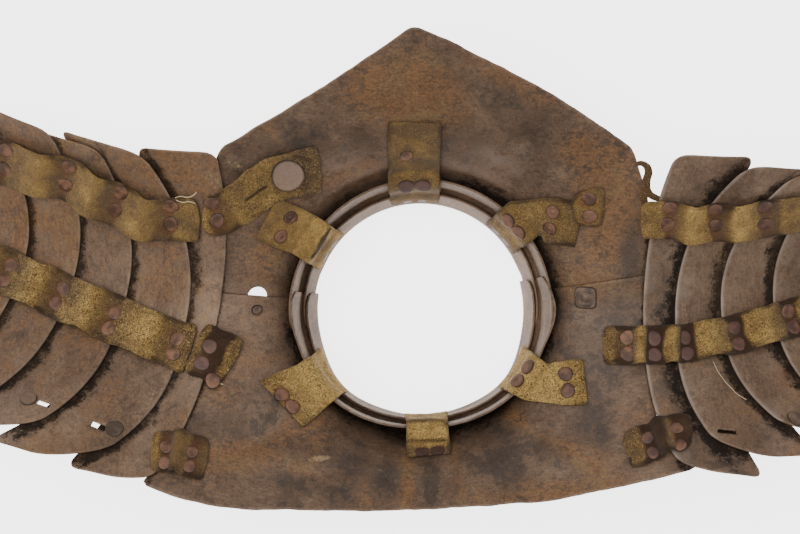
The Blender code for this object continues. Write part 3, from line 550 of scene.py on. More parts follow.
def arm_height(arm, x, y):
    """A hyperbolic trough whose bottom droops and whose sides steepen along the arm."""
    side, yaw = ARMS[arm]["side"], math.radians(ARMS[arm]["yaw"])
    dx, dy = side * x - ARM_ROOT_X, y - ARMS[arm]["root_y"]
    along = dx * math.cos(yaw) + dy * math.sin(yaw)
    across = dy * math.cos(yaw) - dx * math.sin(yaw)
    bottom = ARM_TOP_Z - ARM_DROOP * 0.5 * (np.hypot(along, ARM_BEND) + along)
    steep = mix(TROUGH_AT_ROOT, TROUGH_AT_ARM, smooth(along / TROUGH_RUN))
    return bottom + steep * (np.hypot(across, TROUGH_WIDTH) - TROUGH_WIDTH)


def form_height(x, y):
    """The body's form, passing into the arm's on each side, with the shared dents."""
    share = smooth((np.abs(x) - ARM_BLEND_FROM) / (ARM_BLEND_TO - ARM_BLEND_FROM))
    arm = np.where(x < 0, arm_height("right", x, y), arm_height("left", x, y))
    return mix(body_height(x, y), arm, share) + dents(x, y)


def form_normal(x, y):
    """The form's unit normal, from its slope between points a quarter of a millimetre to each side."""
    step = 0.25
    gx = (form_height(x + step, y) - form_height(x - step, y)) / (2 * step)
    gy = (form_height(x, y + step) - form_height(x, y - step)) / (2 * step)
    normal = np.stack([-gx, -gy, np.ones_like(gx)], -1)
    return normal / np.linalg.norm(normal, axis=-1, keepdims=True)


def on_form(x, y, layer):
    """The point of the form over (x, y), moved out along its normal by layer."""
    x, y, layer = np.broadcast_arrays(*(np.asarray(v, float) for v in (x, y, layer)))
    return np.stack([x, y, form_height(x, y)], -1) + form_normal(x, y) * layer[..., None]


def rounded_outline(corners):
    """The plate's edge in plan: sides bulged by a parabola, then every corner rounded."""
    path = []
    for (x0, y0, bulge), (x1, y1, _) in zip(corners[:-1], corners[1:]):
        t = np.arange(SIDE_POINTS) / SIDE_POINTS
        away = np.array([y1 - y0, x0 - x1]) / math.hypot(x1 - x0, y1 - y0)
        line = np.outer(1 - t, (x0, y0)) + np.outer(t, (x1, y1))
        path.append(line + np.outer(4 * bulge * t * (1 - t), away))
    path = np.vstack([*path, [corners[-1][:2]]])
    length = np.concatenate([[0], np.cumsum(np.hypot(*np.diff(path, axis=0).T))])
    even = np.linspace(0, length[-1], OUTLINE_POINTS)
    dense = np.stack([np.interp(even, length, path[:, i]) for i in (0, 1)], -1)
    reach = max(1, round(OUTLINE_ROUNDING / even[1] / 2))
    return np.stack([slide(dense[:, i], reach, np.mean) for i in (0, 1)], -1)


def slide(values, reach, take):
    """A running value over 2 * reach + 1 neighbours."""
    padded = np.pad(values, reach, mode="edge")
    return take(np.lib.stride_tricks.sliding_window_view(padded, 2 * reach + 1), axis=-1)


def lame_frame(arm, number, x, y):
    """Distance out from the lame's inner edge, in plan, and place along it, -1 to 1."""
    pose = dict(zip(POSE_COLUMNS, LAME_POSES[arm][number]))
    turn = math.radians(pose["yaw"])
    dx, dy = ARMS[arm]["side"] * x - pose["x"], y - pose["y"]
    along = dx * math.cos(turn) + dy * math.sin(turn)
    across = dy * math.cos(turn) - dx * math.sin(turn)
    t = across / np.where(across > 0, pose["front"], pose["back"])
    sweep = np.where(across > 0, pose["ahead"], pose["behind"]) * np.abs(t) ** SWEEP_POWER
    return along - sweep, t


def lame_layer(number, share):
    """A lame's layer: even from its inner edge to its outer one, with a low crown between."""
    even = mix(LAMES[number]["inner"], LAMES[number]["outer"], share)
    return even + LAME_CROWN * 4 * share * (1 - share)


def lame_plan(arm, number, s, t):
    """A lame in plan: s runs from its inner edge to its outer one, t from its back end to its front.

    The edge is a power curve, each inner corner is cut back by a parabola, and all four are rounded.
    """
    lame, pose = LAMES[number], dict(zip(POSE_COLUMNS, LAME_POSES[arm][number]))
    ahead = t > 0
    half = np.where(ahead, pose["front"], pose["back"])
    width = mix(lame["middle"], lame["end"], t * t)
    near_end = np.clip(1 - (1 - np.abs(t)) * half / LAME_ROUNDING, 0, 1)
    inset = LAME_ROUNDING * (1 - np.sqrt(1 - near_end**2)) / width
    s = inset + s * (1 - 2 * inset)
    run = np.where(ahead, FRONT_CORNER_RUN, BACK_CORNER_RUN)
    corner = np.where(ahead, FRONT_CORNER, lame["corner"]) * np.clip(1 - s / run, 0, 1) ** 2
    reach = t * (1 - corner * np.abs(t))
    trim = np.where(ahead, FRONT_TRIM.get((arm, number), pose["trim"]), pose["trim"])
    across = reach * half * (1 - trim * s)
    along = np.where(ahead, pose["ahead"], pose["behind"]) * np.abs(reach) ** SWEEP_POWER + s * width
    turn = math.radians(pose["yaw"])
    x = pose["x"] + along * math.cos(turn) - across * math.sin(turn)
    y = pose["y"] + along * math.sin(turn) + across * math.cos(turn)
    return ARMS[arm]["side"] * x, y, s


def sheet_layer(x, y):
    """The highest layer that lies over each point of the plan, of plates and arm lames."""
    plate = np.where(y > PLATES_MEET_Y, FRONT_LAYER, BACK_LAYER)
    top = np.where(np.abs(x) < PLATES_END_X, plate, LAMES[1]["outer"])
    for arm, poses in LAME_POSES.items():
        for number, lame in enumerate(LAMES[: len(poses)]):
            out, t = lame_frame(arm, number, x, y)
            share = out / mix(lame["middle"], lame["end"], t * t)
            over = (np.abs(t) <= 1) & (share >= 0) & (share <= 1) & (x * ARMS[arm]["side"] > 0)
            top = np.fmax(top, np.where(over, lame_layer(number, share), np.nan))
    return top


def collar_radius(lame, z):
    return lame["radius"] + lame["flare"] * (z - lame["low"])


def collar_dent(angle, z):
    """The collar's back, beaten out of round: a bell of the angle, passing from out to in with height."""
    turn = np.degrees(angle) % 360.0
    back = bell(turn - 274.0, 42.0)
    corners = bell(turn - 225.0, 20.0) + bell(turn - 320.0, 20.0)
    return mix(BACK_LOW * back + BACK_CORNERS * corners, BACK_FLAT * back, smooth(z / 56.0))


# ---- Meshes


def grid_normals(points):
    """Unit normals of a grid: its two directions crossed."""
    normal = np.cross(np.gradient(points, axis=0), np.gradient(points, axis=1))
    return normal / np.maximum(np.linalg.norm(normal, axis=-1, keepdims=True), 1e-9)


def up_normals(points):
    """The grid's normals, turned so that most of them look up."""
    normal = grid_normals(points)
    return normal * np.sign(normal[..., 2].sum())


def make_piece(name, points, faces, values, material):
    """A mesh object of quads and triangles, points in mm from the neck's axis."""
    mesh = bpy.data.meshes.new(name)
    mesh.vertices.add(len(points))
    mesh.vertices.foreach_set("co", ((points + NECK) * MM).astype(np.float32).ravel())
    sizes = np.concatenate([np.full(len(f), f.shape[1]) for f in faces])
    corners = np.concatenate([f.ravel() for f in faces])
    mesh.loops.add(len(corners))
    mesh.loops.foreach_set("vertex_index", corners.astype(np.int32))
    mesh.polygons.add(len(sizes))
    starts = np.concatenate([[0], np.cumsum(sizes)[:-1]])
    mesh.polygons.foreach_set("loop_start", starts.astype(np.int32))
    mesh.update(calc_edges=True)
    for key, value in values.items():
        attribute = mesh.attributes.new(key, "FLOAT", "POINT")
        attribute.data.foreach_set("value", np.broadcast_to(value, len(points)).astype(np.float32))
    mesh.shade_smooth()
    mesh.materials.append(material)
    piece = bpy.data.objects.new(name, mesh)
    bpy.context.scene.collection.objects.link(piece)
    return piece


def shell(name, middle, thickness, values, material, rim=3, under=None):
    """A closed wall round a grid: both faces half the thickness away along the grid's normals,

    and round its edge a half circle between them. The far face takes its own values from under.
    """
    rows, columns = middle.shape[:2]
    normal = grid_normals(middle)
    index = np.arange(rows * columns).reshape(rows, columns)
    loop = np.concatenate([index[0, :-1], index[:-1, -1], index[-1, :0:-1], index[:0:-1, 0]])
    flat, up = middle.reshape(-1, 3), normal.reshape(-1, 3)
    tangent = np.roll(flat[loop], -1, 0) - np.roll(flat[loop], 1, 0)
    out = np.cross(up[loop], tangent)
    out /= np.maximum(np.linalg.norm(out, axis=1, keepdims=True), 1e-9)
    half = thickness / 2
    angles = np.pi * np.arange(1, rim + 1)[:, None, None] / (rim + 1)
    edge = flat[loop] + half * (up[loop] * np.cos(angles) + out * np.sin(angles))
    points = np.vstack([flat + up * half, flat - up * half, edge.reshape(-1, 3)])
    corner = index[:-1, :-1].ravel()
    top = np.stack([corner, corner + columns, corner + columns + 1, corner + 1], -1)
    bottom = top[:, ::-1] + rows * columns
    rings = [loop, *(2 * rows * columns + np.arange(len(loop)) + k * len(loop) for k in range(rim))]
    rings.append(loop + rows * columns)
    strips = [np.stack([a, np.roll(a, -1), np.roll(b, -1), b], -1) for a, b in zip(rings, rings[1:])]
    spread, under = {}, under or {}
    for key, value in values.items():
        near, away = (np.broadcast_to(v, (rows, columns)).ravel() for v in (value, under.get(key, value)))
        spread[key] = np.concatenate([near, away, np.tile(near[loop], rim)])
    return make_piece(name, points, [np.vstack([top, bottom, *strips])], spread, material)


def side_axes(normal):
    """Two unit directions square to each normal and to each other."""
    guide = np.where(np.abs(normal[:, :1]) < 0.8, [[1.0, 0.0, 0.0]], [[0.0, 1.0, 0.0]])
    first = np.cross(guide, normal)
    first /= np.linalg.norm(first, axis=1, keepdims=True)
    return first, np.cross(normal, first)


def turned(spots, profile, radius, height, sides, wobble, seed, squareness=0.0):
    """Turned heads on their seats, as points, faces and the share of the radius at each point.

    Each ring's radius strays from round by two low waves, or is squared as a superellipse.
    """
    seats, normals = (np.array([s[i] for s in spots], float) for i in (0, 1))
    first, second = side_axes(normals)
    shares, heights = np.array(profile).T
    radius, height = (np.broadcast_to(v, len(spots))[:, None, None] for v in (radius, height))
    angle = np.linspace(0, 2 * np.pi, sides, endpoint=False)
    phase = lattice(np.arange(len(spots)), seed, 5)[:, None] * 2 * np.pi
    stray = 1 + wobble * (np.sin(2 * angle + phase) + 0.6 * np.sin(3 * angle + 2.3 * phase))
    power = 2 + 6 * squareness
    square = (np.abs(np.cos(angle)) ** power + np.abs(np.sin(angle)) ** power) ** (-1 / power)
    across = radius * shares[None, :, None] * (stray * square)[:, None, :]
    tilt = wobble * np.sin(angle + phase)[:, None, :] * shares[None, :, None]
    up = height * (heights[None, :, None] + tilt)
    points = (
        seats[:, None, None]
        + first[:, None, None] * (across * np.cos(angle))[..., None]
        + second[:, None, None] * (across * np.sin(angle))[..., None]
        + normals[:, None, None] * up[..., None]
    )
    rings = len(shares)
    points = points[:, 1:]
    crown = seats + normals * height[:, 0] * heights[0]
    base = seats + normals * height[:, 0] * heights[-1]
    count = (rings - 1) * sides
    block = count + 2
    packed = np.concatenate([points.reshape(len(spots), count, 3), crown[:, None], base[:, None]], 1)
    start = (np.arange(len(spots)) * block)[:, None, None]
    ring = np.arange(rings - 2)[None, :, None] * sides
    k = np.arange(sides)[None, None]
    after = (k + 1) % sides
    quads = np.stack([start + ring + k, start + ring + sides + k,
                      start + ring + sides + after, start + ring + after], -1).reshape(-1, 4)
    first_k, next_k = start[:, 0] + k[0], start[:, 0] + after[0]
    last = (rings - 2) * sides
    fans = np.concatenate([
        np.stack([np.broadcast_to(start[:, 0] + count, first_k.shape), first_k, next_k], -1),
        np.stack([np.broadcast_to(start[:, 0] + count + 1, first_k.shape), next_k + last, first_k + last], -1),
    ]).reshape(-1, 3)
    share = np.concatenate([np.repeat(shares[1:], sides), [0.0, 1.0]])
    return packed.reshape(-1, 3), [quads, fans], np.tile(share, len(spots))


def carve(piece, cutters):
    """Cuts holes through a piece with throwaway solids, then applies the cut."""
    for cutter in cutters:
        cut = piece.modifiers.new("Hole", "BOOLEAN")
        cut.operation = "DIFFERENCE"
        cut.solver = "EXACT"
        cut.object = cutter
    carved = bpy.data.meshes.new_from_object(piece.evaluated_get(bpy.context.evaluated_depsgraph_get()))
    piece.modifiers.clear()
    piece.data = carved
    for cutter in cutters:
        bpy.data.objects.remove(cutter)


def bar(name, seat, normal, length, width, turn_deg, material):
    """A throwaway block, long across the plate, turned in its plane."""
    flat = np.array([1.0, 0.0, 0.0]) - normal * normal[0]
    flat /= np.linalg.norm(flat)
    side = np.cross(normal, flat)
    turn = math.radians(turn_deg)
    along, across = flat * math.cos(turn) + side * math.sin(turn), side * math.cos(turn) - flat * math.sin(turn)
    signs = np.array([(i, j, k) for i in (-1, 1) for j in (-1, 1) for k in (-1, 1)]) / 2
    points = seat + signs @ np.array([along * length, across * width, normal * SLOT_DEPTH])
    faces = np.array([(0, 1, 3, 2), (4, 6, 7, 5), (0, 4, 5, 1), (2, 3, 7, 6), (0, 2, 6, 4), (1, 5, 7, 3)])
    return make_piece(name, points, [faces], {}, material)


def seat_piece(piece, slot, *nodes):
    """The piece rides on the one body, and stands for the nodes that it covers."""
    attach(piece, "root")
    if nodes:
        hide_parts(*nodes)
    return piece


# ---- Finishes


def node(tree, kind, inputs=None, stops=None, **settings):
    """Adds a node: sets its properties, colour stops and inputs, and links those that are sockets."""
    made = tree.nodes.new(kind)
    for key, value in settings.items():
        setattr(made, key, value)
    if stops:
        ramp = made.color_ramp
        while len(ramp.elements) < len(stops):
            ramp.elements.new(0.5)
        for element, (place, colour) in zip(ramp.elements, stops):
            element.position = place
            element.color = (*colour, 1.0)
    for socket, value in (inputs or {}).items():
        if isinstance(value, NodeSocket):
            tree.links.new(value, made.inputs[socket])
        else:
            made.inputs[socket].default_value = value
    return made


def grain(tree, where, size, detail=4.0, roughness=0.6, distortion=0.0):
    """Noise whose features are about that size in mm."""
    return node(tree, "ShaderNodeTexNoise", {
        "Vector": where, "Scale": 1.0 / (size * MM), "Detail": detail, "Roughness": roughness,
        "Distortion": distortion,
    }).outputs["Fac"]


def sums(tree, operation, a, b, c=0.0):
    return node(tree, "ShaderNodeMath", {0: a, 1: b, 2: c}, operation=operation).outputs[0]


def step(tree, value, low, high):
    """An even step of the value from low to high, as 0 to 1."""
    return node(tree, "ShaderNodeMapRange", {
        "Value": value, "From Min": low, "From Max": high, "To Min": 0.0, "To Max": 1.0,
    }, interpolation_type="SMOOTHSTEP").outputs["Result"]


def blend(tree, share, a, b, way="MIX"):
    """Colour a passing into colour b by share."""
    return node(tree, "ShaderNodeMix", {0: share, 6: a, 7: b}, data_type="RGBA", blend_type=way).outputs[2]


def worn(tree, name):
    return node(tree, "ShaderNodeAttribute", attribute_name=name).outputs["Fac"]


def new_material(name):
    """A material with nodes, its tree, its shader and the object's own coordinates."""
    material = bpy.data.materials.new(name)
    material.use_nodes = True
    tree = material.node_tree
    shader = tree.nodes["Principled BSDF"]
    where = node(tree, "ShaderNodeTexCoord").outputs["Object"]
    return material, tree, shader, where


def broken(tree, mask, noise, spread, low=0.35, high=0.65):
    """A soft mask whose edge is broken up by noise."""
    moved = sums(tree, "MULTIPLY_ADD", sums(tree, "SUBTRACT", noise, 0.5), spread, mask)
    return step(tree, moved, low, high)


def rusted_steel(name, settings, brush, tone=0.0, bare_and_highlight_share=0.0, metal_base=0.5, dull=0.0):
    """Hammered mild steel, oil-blackened once, then rusted and handled: brown with orange clouds,

    blue-black scale, dirt and painted shade where plates overlap, and grey metal rubbed bare on the edges,
    with painted highlights and sheen laid on with the bare metal and the pale scale. Fine scouring lines
    run along the axis that brush stretches.
    """
    material, tree, shader, where = new_material(name)
    wide = grain(tree, where, 48.0, 4.0, 0.55, 0.5)
    broad = grain(tree, where, 20.0, 6.0, 0.6, 0.6)
    middle = grain(tree, where, 6.0, 6.0, 0.65, 0.3)
    fine = grain(tree, where, 1.7, 5.0, 0.72)
    grit = grain(tree, where, 0.7, 3.0, 0.6)
    lines = grain(tree, node(tree, "ShaderNodeMapping", {"Vector": where, "Scale": brush}).outputs["Vector"],
                  1.7, 4.0, 0.65, 0.2)
    mixed = sums(tree, "MULTIPLY_ADD", wide, 0.4, sums(tree, "MULTIPLY_ADD", broad, 0.3, sums(
        tree, "MULTIPLY", middle, 0.3)))
    ground = node(tree, "ShaderNodeValToRGB", {"Fac": sums(tree, "ADD", mixed, tone)}, stops=(
        (0.36, settings.shade), (0.5, settings.patina), (0.66, settings.light))).outputs["Color"]
    ragged = sums(tree, "MULTIPLY_ADD", middle, 0.56, sums(tree, "MULTIPLY_ADD", fine, 0.32, sums(
        tree, "MULTIPLY", lines, 0.12)))
    rust_mask = broken(tree, worn(tree, "rust"), ragged, 3.0, 0.35, 0.85)
    flaky = sums(tree, "MULTIPLY_ADD", fine, 0.5, sums(tree, "MULTIPLY", middle, 0.5))
    rust = node(tree, "ShaderNodeValToRGB", {"Fac": flaky}, stops=(
        (0.38, settings.rust_dark), (0.62, settings.rust))).outputs["Color"]
    rust = blend(tree, sums(tree, "MULTIPLY", step(tree, broad, 0.5, 0.62), 0.5), rust, (*settings.olive, 1.0))
    colour = blend(tree, sums(tree, "MULTIPLY", rust_mask, 0.68), ground, rust)
    scale_mask = broken(tree, worn(tree, "scale"), ragged, 5.0, 0.42, 0.84)
    colour = blend(tree, sums(tree, "MULTIPLY", scale_mask, 0.68), colour, (*settings.scale, 1.0))
    speckle = node(tree, "ShaderNodeValToRGB", {"Fac": sums(tree, "MULTIPLY_ADD", grit, 0.4, sums(
        tree, "MULTIPLY", fine, 0.6))}, stops=(
        (0.36, (0.5, 0.48, 0.46)), (0.5, (0.96, 0.96, 0.96)), (0.64, (1.5, 1.45, 1.38)))).outputs["Color"]
    colour = blend(tree, 0.7, colour, speckle, "MULTIPLY")
    scoured = node(tree, "ShaderNodeValToRGB", {"Fac": lines}, stops=(
        (0.36, (0.66, 0.66, 0.66)), (0.64, (1.36, 1.36, 1.36)))).outputs["Color"]
    colour = blend(tree, 0.45, colour, scoured, "MULTIPLY")
    # Pale scale together with painted highlights on the front plate's folds and in a band beside the lames'
    # inner edges.
    pale_and_highlight_mask = broken(tree, worn(tree, "pale"), fine, 1.4, 0.5, 0.9)
    colour = blend(tree, sums(tree, "MULTIPLY", pale_and_highlight_mask, 0.5), colour, (*settings.pale, 1.0))
    # Rubbed bare metal together with painted highlights: on the plates' ridges near the neck, on the lames'
    # inner edges, and a painted sheen beside them.
    bare_and_highlight_mask = broken(tree, worn(tree, "bare_and_highlight"), middle, 0.9, 0.2, 1.0)
    colour = blend(tree, sums(tree, "MULTIPLY", bare_and_highlight_mask, mix(0.6, 0.8, bare_and_highlight_share)), colour,
                   (*settings.bare_and_highlight, 1.0))
    # Dirt together with painted shade: darkest in the overlaps, round the neck, beside the lames' raised edges
    # and at the collar lames' feet.
    soot_and_shade_mask = broken(tree, worn(tree, "soot_and_shade"), flaky, 3.2, 0.3, 1.0)
    soot_and_shade_mask = sums(tree, "MULTIPLY", soot_and_shade_mask, 0.86)
    colour = blend(tree, soot_and_shade_mask, colour, (*settings.soot_and_shade, 1.0))
    metal = sums(tree, "MULTIPLY_ADD", rust_mask, -0.2, metal_base)
    metal = sums(tree, "MULTIPLY_ADD", soot_and_shade_mask, -0.25, metal)
    metal = sums(tree, "MULTIPLY_ADD", bare_and_highlight_mask, 0.12, metal)
    rough = sums(tree, "MULTIPLY_ADD", fine, 0.3, 0.42 + dull)
    rough = sums(tree, "MULTIPLY_ADD", soot_and_shade_mask, 0.2, rough)
    height = sums(tree, "MULTIPLY_ADD", fine, 0.6, sums(tree, "MULTIPLY", middle, 1.0))
    height = sums(tree, "MULTIPLY_ADD", grit, 0.3, height)
    bump = node(tree, "ShaderNodeBump", {"Strength": 0.5, "Distance": 0.0006, "Height": height})
    tree.links.new(colour, shader.inputs["Base Color"])
    tree.links.new(metal, shader.inputs["Metallic"])
    tree.links.new(rough, shader.inputs["Roughness"])
    sheen = sums(tree, "MULTIPLY_ADD", soot_and_shade_mask, dull - 0.4, 0.45 - dull)
    tree.links.new(sheen, shader.inputs["Specular IOR Level"])
    tree.links.new(bump.outputs["Normal"], shader.inputs["Normal"])
    return material


def buff_leather(name, settings):
    """Oil-tanned buff hide, flesh side out: golden nap over brown, flattened and grimy at the rivets, with a
    painted highlight on the bulges and painted shade in bends and cuts.
    """
    material, tree, shader, where = new_material(name)
    broad = grain(tree, where, 11.0, 5.0, 0.6, 0.3)
    hair = grain(tree, where, 1.9, 3.0, 0.7, 2.6)
    fine = grain(tree, where, 0.8, 2.0, 0.6, 0.5)
    nap, tan, shade = worn(tree, "nap"), worn(tree, "tan"), worn(tree, "shade")
    # The tan attribute also lifts the shoulder leathers' bulges towards gold, a painted highlight.
    golden = sums(tree, "MULTIPLY_ADD", sums(tree, "SUBTRACT", broad, 0.5), 1.3, tan)
    ground = node(tree, "ShaderNodeValToRGB", {"Fac": golden}, stops=(
        (0.0, settings.brown), (0.45, settings.ochre), (0.95, settings.gold))).outputs["Color"]
    tuft = sums(tree, "SUBTRACT", 1.0, step(tree, hair, 0.36, 0.56))
    tuft = sums(tree, "MULTIPLY", tuft, sums(tree, "MULTIPLY_ADD", nap, 0.75, 0.22))
    colour = blend(tree, tuft, ground, (*settings.root, 1.0))
    tips = sums(tree, "MULTIPLY", step(tree, hair, 0.56, 0.7), sums(tree, "MULTIPLY_ADD", nap, 0.6, 0.12))
    colour = blend(tree, tips, colour, (*settings.tip, 1.0))
    stain = broken(tree, worn(tree, "stain"), broad, 0.8, 0.3, 0.8)
    colour = blend(tree, sums(tree, "MULTIPLY", stain, 0.65), colour, (*settings.stain, 1.0))
    # Scorched and greasy bands, together with painted shade in the grooves, in the neck leathers' bends and off
    # the shoulder leathers' bulges.
    soot_and_shade = broken(tree, shade, broad, 0.7, 0.2, 0.95)
    colour = blend(tree, sums(tree, "MULTIPLY", soot_and_shade, 0.88), colour, (*settings.soot_and_shade, 1.0))
    flecks = node(tree, "ShaderNodeValToRGB", {"Fac": fine}, stops=(
        (0.3, (0.7, 0.7, 0.7)), (0.7, (1.2, 1.2, 1.2)))).outputs["Color"]
    colour = blend(tree, 0.8, colour, flecks, "MULTIPLY")
    height = sums(tree, "MULTIPLY_ADD", hair, sums(tree, "MULTIPLY_ADD", nap, 1.2, 0.3), fine)
    height = sums(tree, "MULTIPLY_ADD", broad, 1.0, height)
    bump = node(tree, "ShaderNodeBump", {"Strength": 0.8, "Distance": 0.0009, "Height": height})
    tree.links.new(colour, shader.inputs["Base Color"])
    tree.links.new(bump.outputs["Normal"], shader.inputs["Normal"])
    shader.inputs["Roughness"].default_value = 0.88
    shader.inputs["Sheen Weight"].default_value = 0.08
    shader.inputs["Sheen Roughness"].default_value = 0.5
    shader.inputs["IOR"].default_value = 1.45
    shader.inputs["Specular IOR Level"].default_value = 0.15
    return material


def loose_fibre(name, settings):
    """Frayed ends of the sewing thread and of the hide, bleached: pale, matt and uneven."""
    material, tree, shader, where = new_material(name)
    tone = blend(tree, grain(tree, where, 2.0), (*settings.fibre, 1.0), (*settings.ochre, 1.0))
    tree.links.new(tone, shader.inputs["Base Color"])
    shader.inputs["Roughness"].default_value = 0.9
    return material


def old_iron(name, settings, colour_top, colour_low):
    """Wrought iron heads, peened cold: dull pinkish brown, with painted shade in the crack round the rim."""
    material, tree, shader, where = new_material(name)
    middle = grain(tree, where, 4.0, 5.0, 0.65, 0.3)
    fine = grain(tree, where, 1.1, 4.0, 0.7)
    each = grain(tree, where, 16.0, 2.0)
    shade = sums(tree, "MULTIPLY_ADD", sums(tree, "SUBTRACT", each, 0.5), 1.6, middle)
    colour = blend(tree, step(tree, shade, 0.25, 0.75), (*colour_low, 1.0), (*colour_top, 1.0))
    rust = step(tree, grain(tree, where, 2.6, 5.0, 0.7, 0.4), 0.55, 0.72)
    colour = blend(tree, sums(tree, "MULTIPLY", rust, 0.22), colour, (*settings.rust, 1.0))
    flecks = node(tree, "ShaderNodeValToRGB", {"Fac": fine}, stops=(
        (0.3, (0.7, 0.7, 0.7)), (0.7, (1.2, 1.2, 1.2)))).outputs["Color"]
    colour = blend(tree, 0.7, colour, flecks, "MULTIPLY")
    colour = blend(tree, sums(tree, "MULTIPLY", worn(tree, "dim"), 0.85), colour, (*settings.grease, 1.0))
    # Painted shade: the sides and foot of each head are darker, in the soot colour.
    rim = step(tree, worn(tree, "rim"), 0.84, 1.0)
    colour = blend(tree, sums(tree, "MULTIPLY", rim, 0.8), colour, (*settings.soot_and_shade, 1.0))
    bump = node(tree, "ShaderNodeBump", {
        "Strength": 0.5, "Distance": 0.0004, "Height": sums(tree, "ADD", middle, fine)})
    tree.links.new(colour, shader.inputs["Base Color"])
    tree.links.new(bump.outputs["Normal"], shader.inputs["Normal"])
    shader.inputs["Roughness"].default_value = 0.6
    shader.inputs["Metallic"].default_value = 0.3
    return material


# ---- Settings


def colour_setting(name, description, default):
    return FloatVectorProperty(
        name=name, description=description, default=linear(default), subtype="COLOR", size=3, min=0.0, max=1.0
    )


class SteelSettings(PropertyGroup):
    """Colours of the plates and of the ironwork."""

    shade: colour_setting("Shade", "Darkest tone of the patina", "#46382d")
    patina: colour_setting("Patina", "Middle tone of the patina", "#675242")
    light: colour_setting("Light", "Lightest tone of the patina", "#826b57")
    rust: colour_setting("Rust", "Fresh rust", "#805832")
    olive: colour_setting("Olive", "Old oil over the rust", "#6e5c38")
    rust_dark: colour_setting("Dark rust", "Old rust", "#5f4529")
    scale: colour_setting("Scale", "Blue-black fire scale", "#332f2d")
    # Colour of the rubbed bare metal, also used for the painted highlights and sheen.
    bare_and_highlight: colour_setting("Bare", "Rubbed bare metal", "#9b8b7e")
    # Colour of the pale scale, also used for painted highlights.
    pale: colour_setting("Pale", "Dry pale scale", "#b59a72")
    # Colour of the dirt, and of the painted shade in the overlaps, round the neck and beside the lames' edges.
    soot_and_shade: colour_setting("Soot", "Dirt in the overlaps", "#15100d")
    head: colour_setting("Rivet head", "Top of the rivet heads", "#805a42")
    head_low: colour_setting("Rivet shade", "Low tone of the rivet heads", "#4b3425")
    stud: colour_setting("Stud", "Top of the strap's stud", "#836c5e")
    grease: colour_setting("Grease", "Greasy tone of the sunken rivet heads", "#4a3432")
    thickness: FloatProperty(
        name="Thickness", description="Thickness of the steel", default=PLATE * MM, min=0.0008, max=0.003,
        subtype="DISTANCE", unit="LENGTH",
    )


class LeatherSettings(PropertyGroup):
    """Colours and thickness of the leathers."""

    # Also the colour of the painted highlight on the shoulder leathers' bulges.
    gold: colour_setting("Gold", "Clean golden nap", "#bf9c5a")
    ochre: colour_setting("Ochre", "Usual tone of the hide", "#886b3d")
    brown: colour_setting("Brown", "Dull tone of the hide", "#5f4a33")
    root: colour_setting("Root", "Dark between the hairs", "#2e1f10")
    tip: colour_setting("Tip", "Light hair tips", "#d8b876")
    stain: colour_setting("Stain", "Rust drawn into the hide", "#603c28")
    fibre: colour_setting("Fibre", "Bleached loose fibres", "#cdbd9f")
    # Colour of the scorched and greasy bands, also used for painted shade.
    soot_and_shade: colour_setting("Soot", "Scorched and greasy bands", "#2a1c14")
    thickness: FloatProperty(
        name="Thickness", description="Thickness of the hides", default=LEATHER * MM, min=0.001, max=0.004,
        subtype="DISTANCE", unit="LENGTH",
    )


class StageSettings(PropertyGroup):
    """The floor, the light and the camera."""

    floor: colour_setting("Floor", "Pale floor", "#f4f4f3")
    camera_height: FloatProperty(
        name="Camera height", description="Height of the camera over the floor", default=1.5, min=0.5, max=5.0,
        unit="LENGTH",
    )
    sky: FloatProperty(
        name="Sky", description="Strength of the even light", default=0.6, min=0.0, max=4.0, subtype="FACTOR",
    )
    glow: FloatProperty(
        name="Glow", description="Strength of the floor's own light", default=3.2, min=0.0, max=20.0,
        subtype="FACTOR",
    )
    key: FloatProperty(
        name="Key light", description="Power of the large soft light", default=35.0, min=0.0, max=500.0,
        unit="POWER",
    )


# ---- Pieces


def plate_wear(x, y, radius, share):
    """Where a main plate is rusty, scaled, sooty, pale or rubbed bare, with painted shade round the neck and
    beside the first lames' inner edges, and painted highlights on the ridges near the neck.
    """
    # Painted shade with soot in a broken band round the neck, outside the collar.
    neck_shade_and_soot = 0.9 * smooth((FLANGE_R + 7.0 + 5.0 * cloud(x, y, 30.0, 4) - radius) / 10.0)
    streaks = 0.3 * ripple(85.0 * np.arctan2(y, x), 0.3 * radius, 9.0, 5) * (y < 0)
    turn = np.degrees(np.arctan2(y, x))
    # Painted highlights on the ridges just outside that band, at these bearings.
    ridge_highlights = bell(turn - 65.0, 16.0) + bell(turn - 118.0, 14.0) + 0.6 * bell(turn + 100.0, 30.0)
    soot_and_shade = neck_shade_and_soot
    # Painted shadow on the plate just inside each first lame's raised inner edge.
    for arm in ARMS:
        out, t = lame_frame(arm, 0, x, y)
        over = (ARMS[arm]["side"] * x > 0) & (np.abs(t) <= 1.02)
        reach = 4.0 + 2.0 * ripple(x, y, 12.0, 6)
        soot_and_shade = np.maximum(soot_and_shade, np.where(over, 0.8 * smooth(1 + out / reach), 0))
    return {
        "rust": 0.3 + 0.7 * patches(x, y, RUST_PATCHES) + 0.16 * cloud(x, y, 26.0, 8) + streaks,
        "scale": 0.16 + 0.7 * patches(x, y, SCALE_PATCHES) + 0.16 * cloud(x, y, 20.0, 9) - streaks,
        "soot_and_shade": soot_and_shade,
        "pale": patches(x, y, PALE_AND_HIGHLIGHT_PATCHES),
        "bare_and_highlight": 0.35 * smooth((share - 0.98) / 0.02) + 0.55 * bell(radius - 104.0, 9.0) * ridge_highlights,
    }


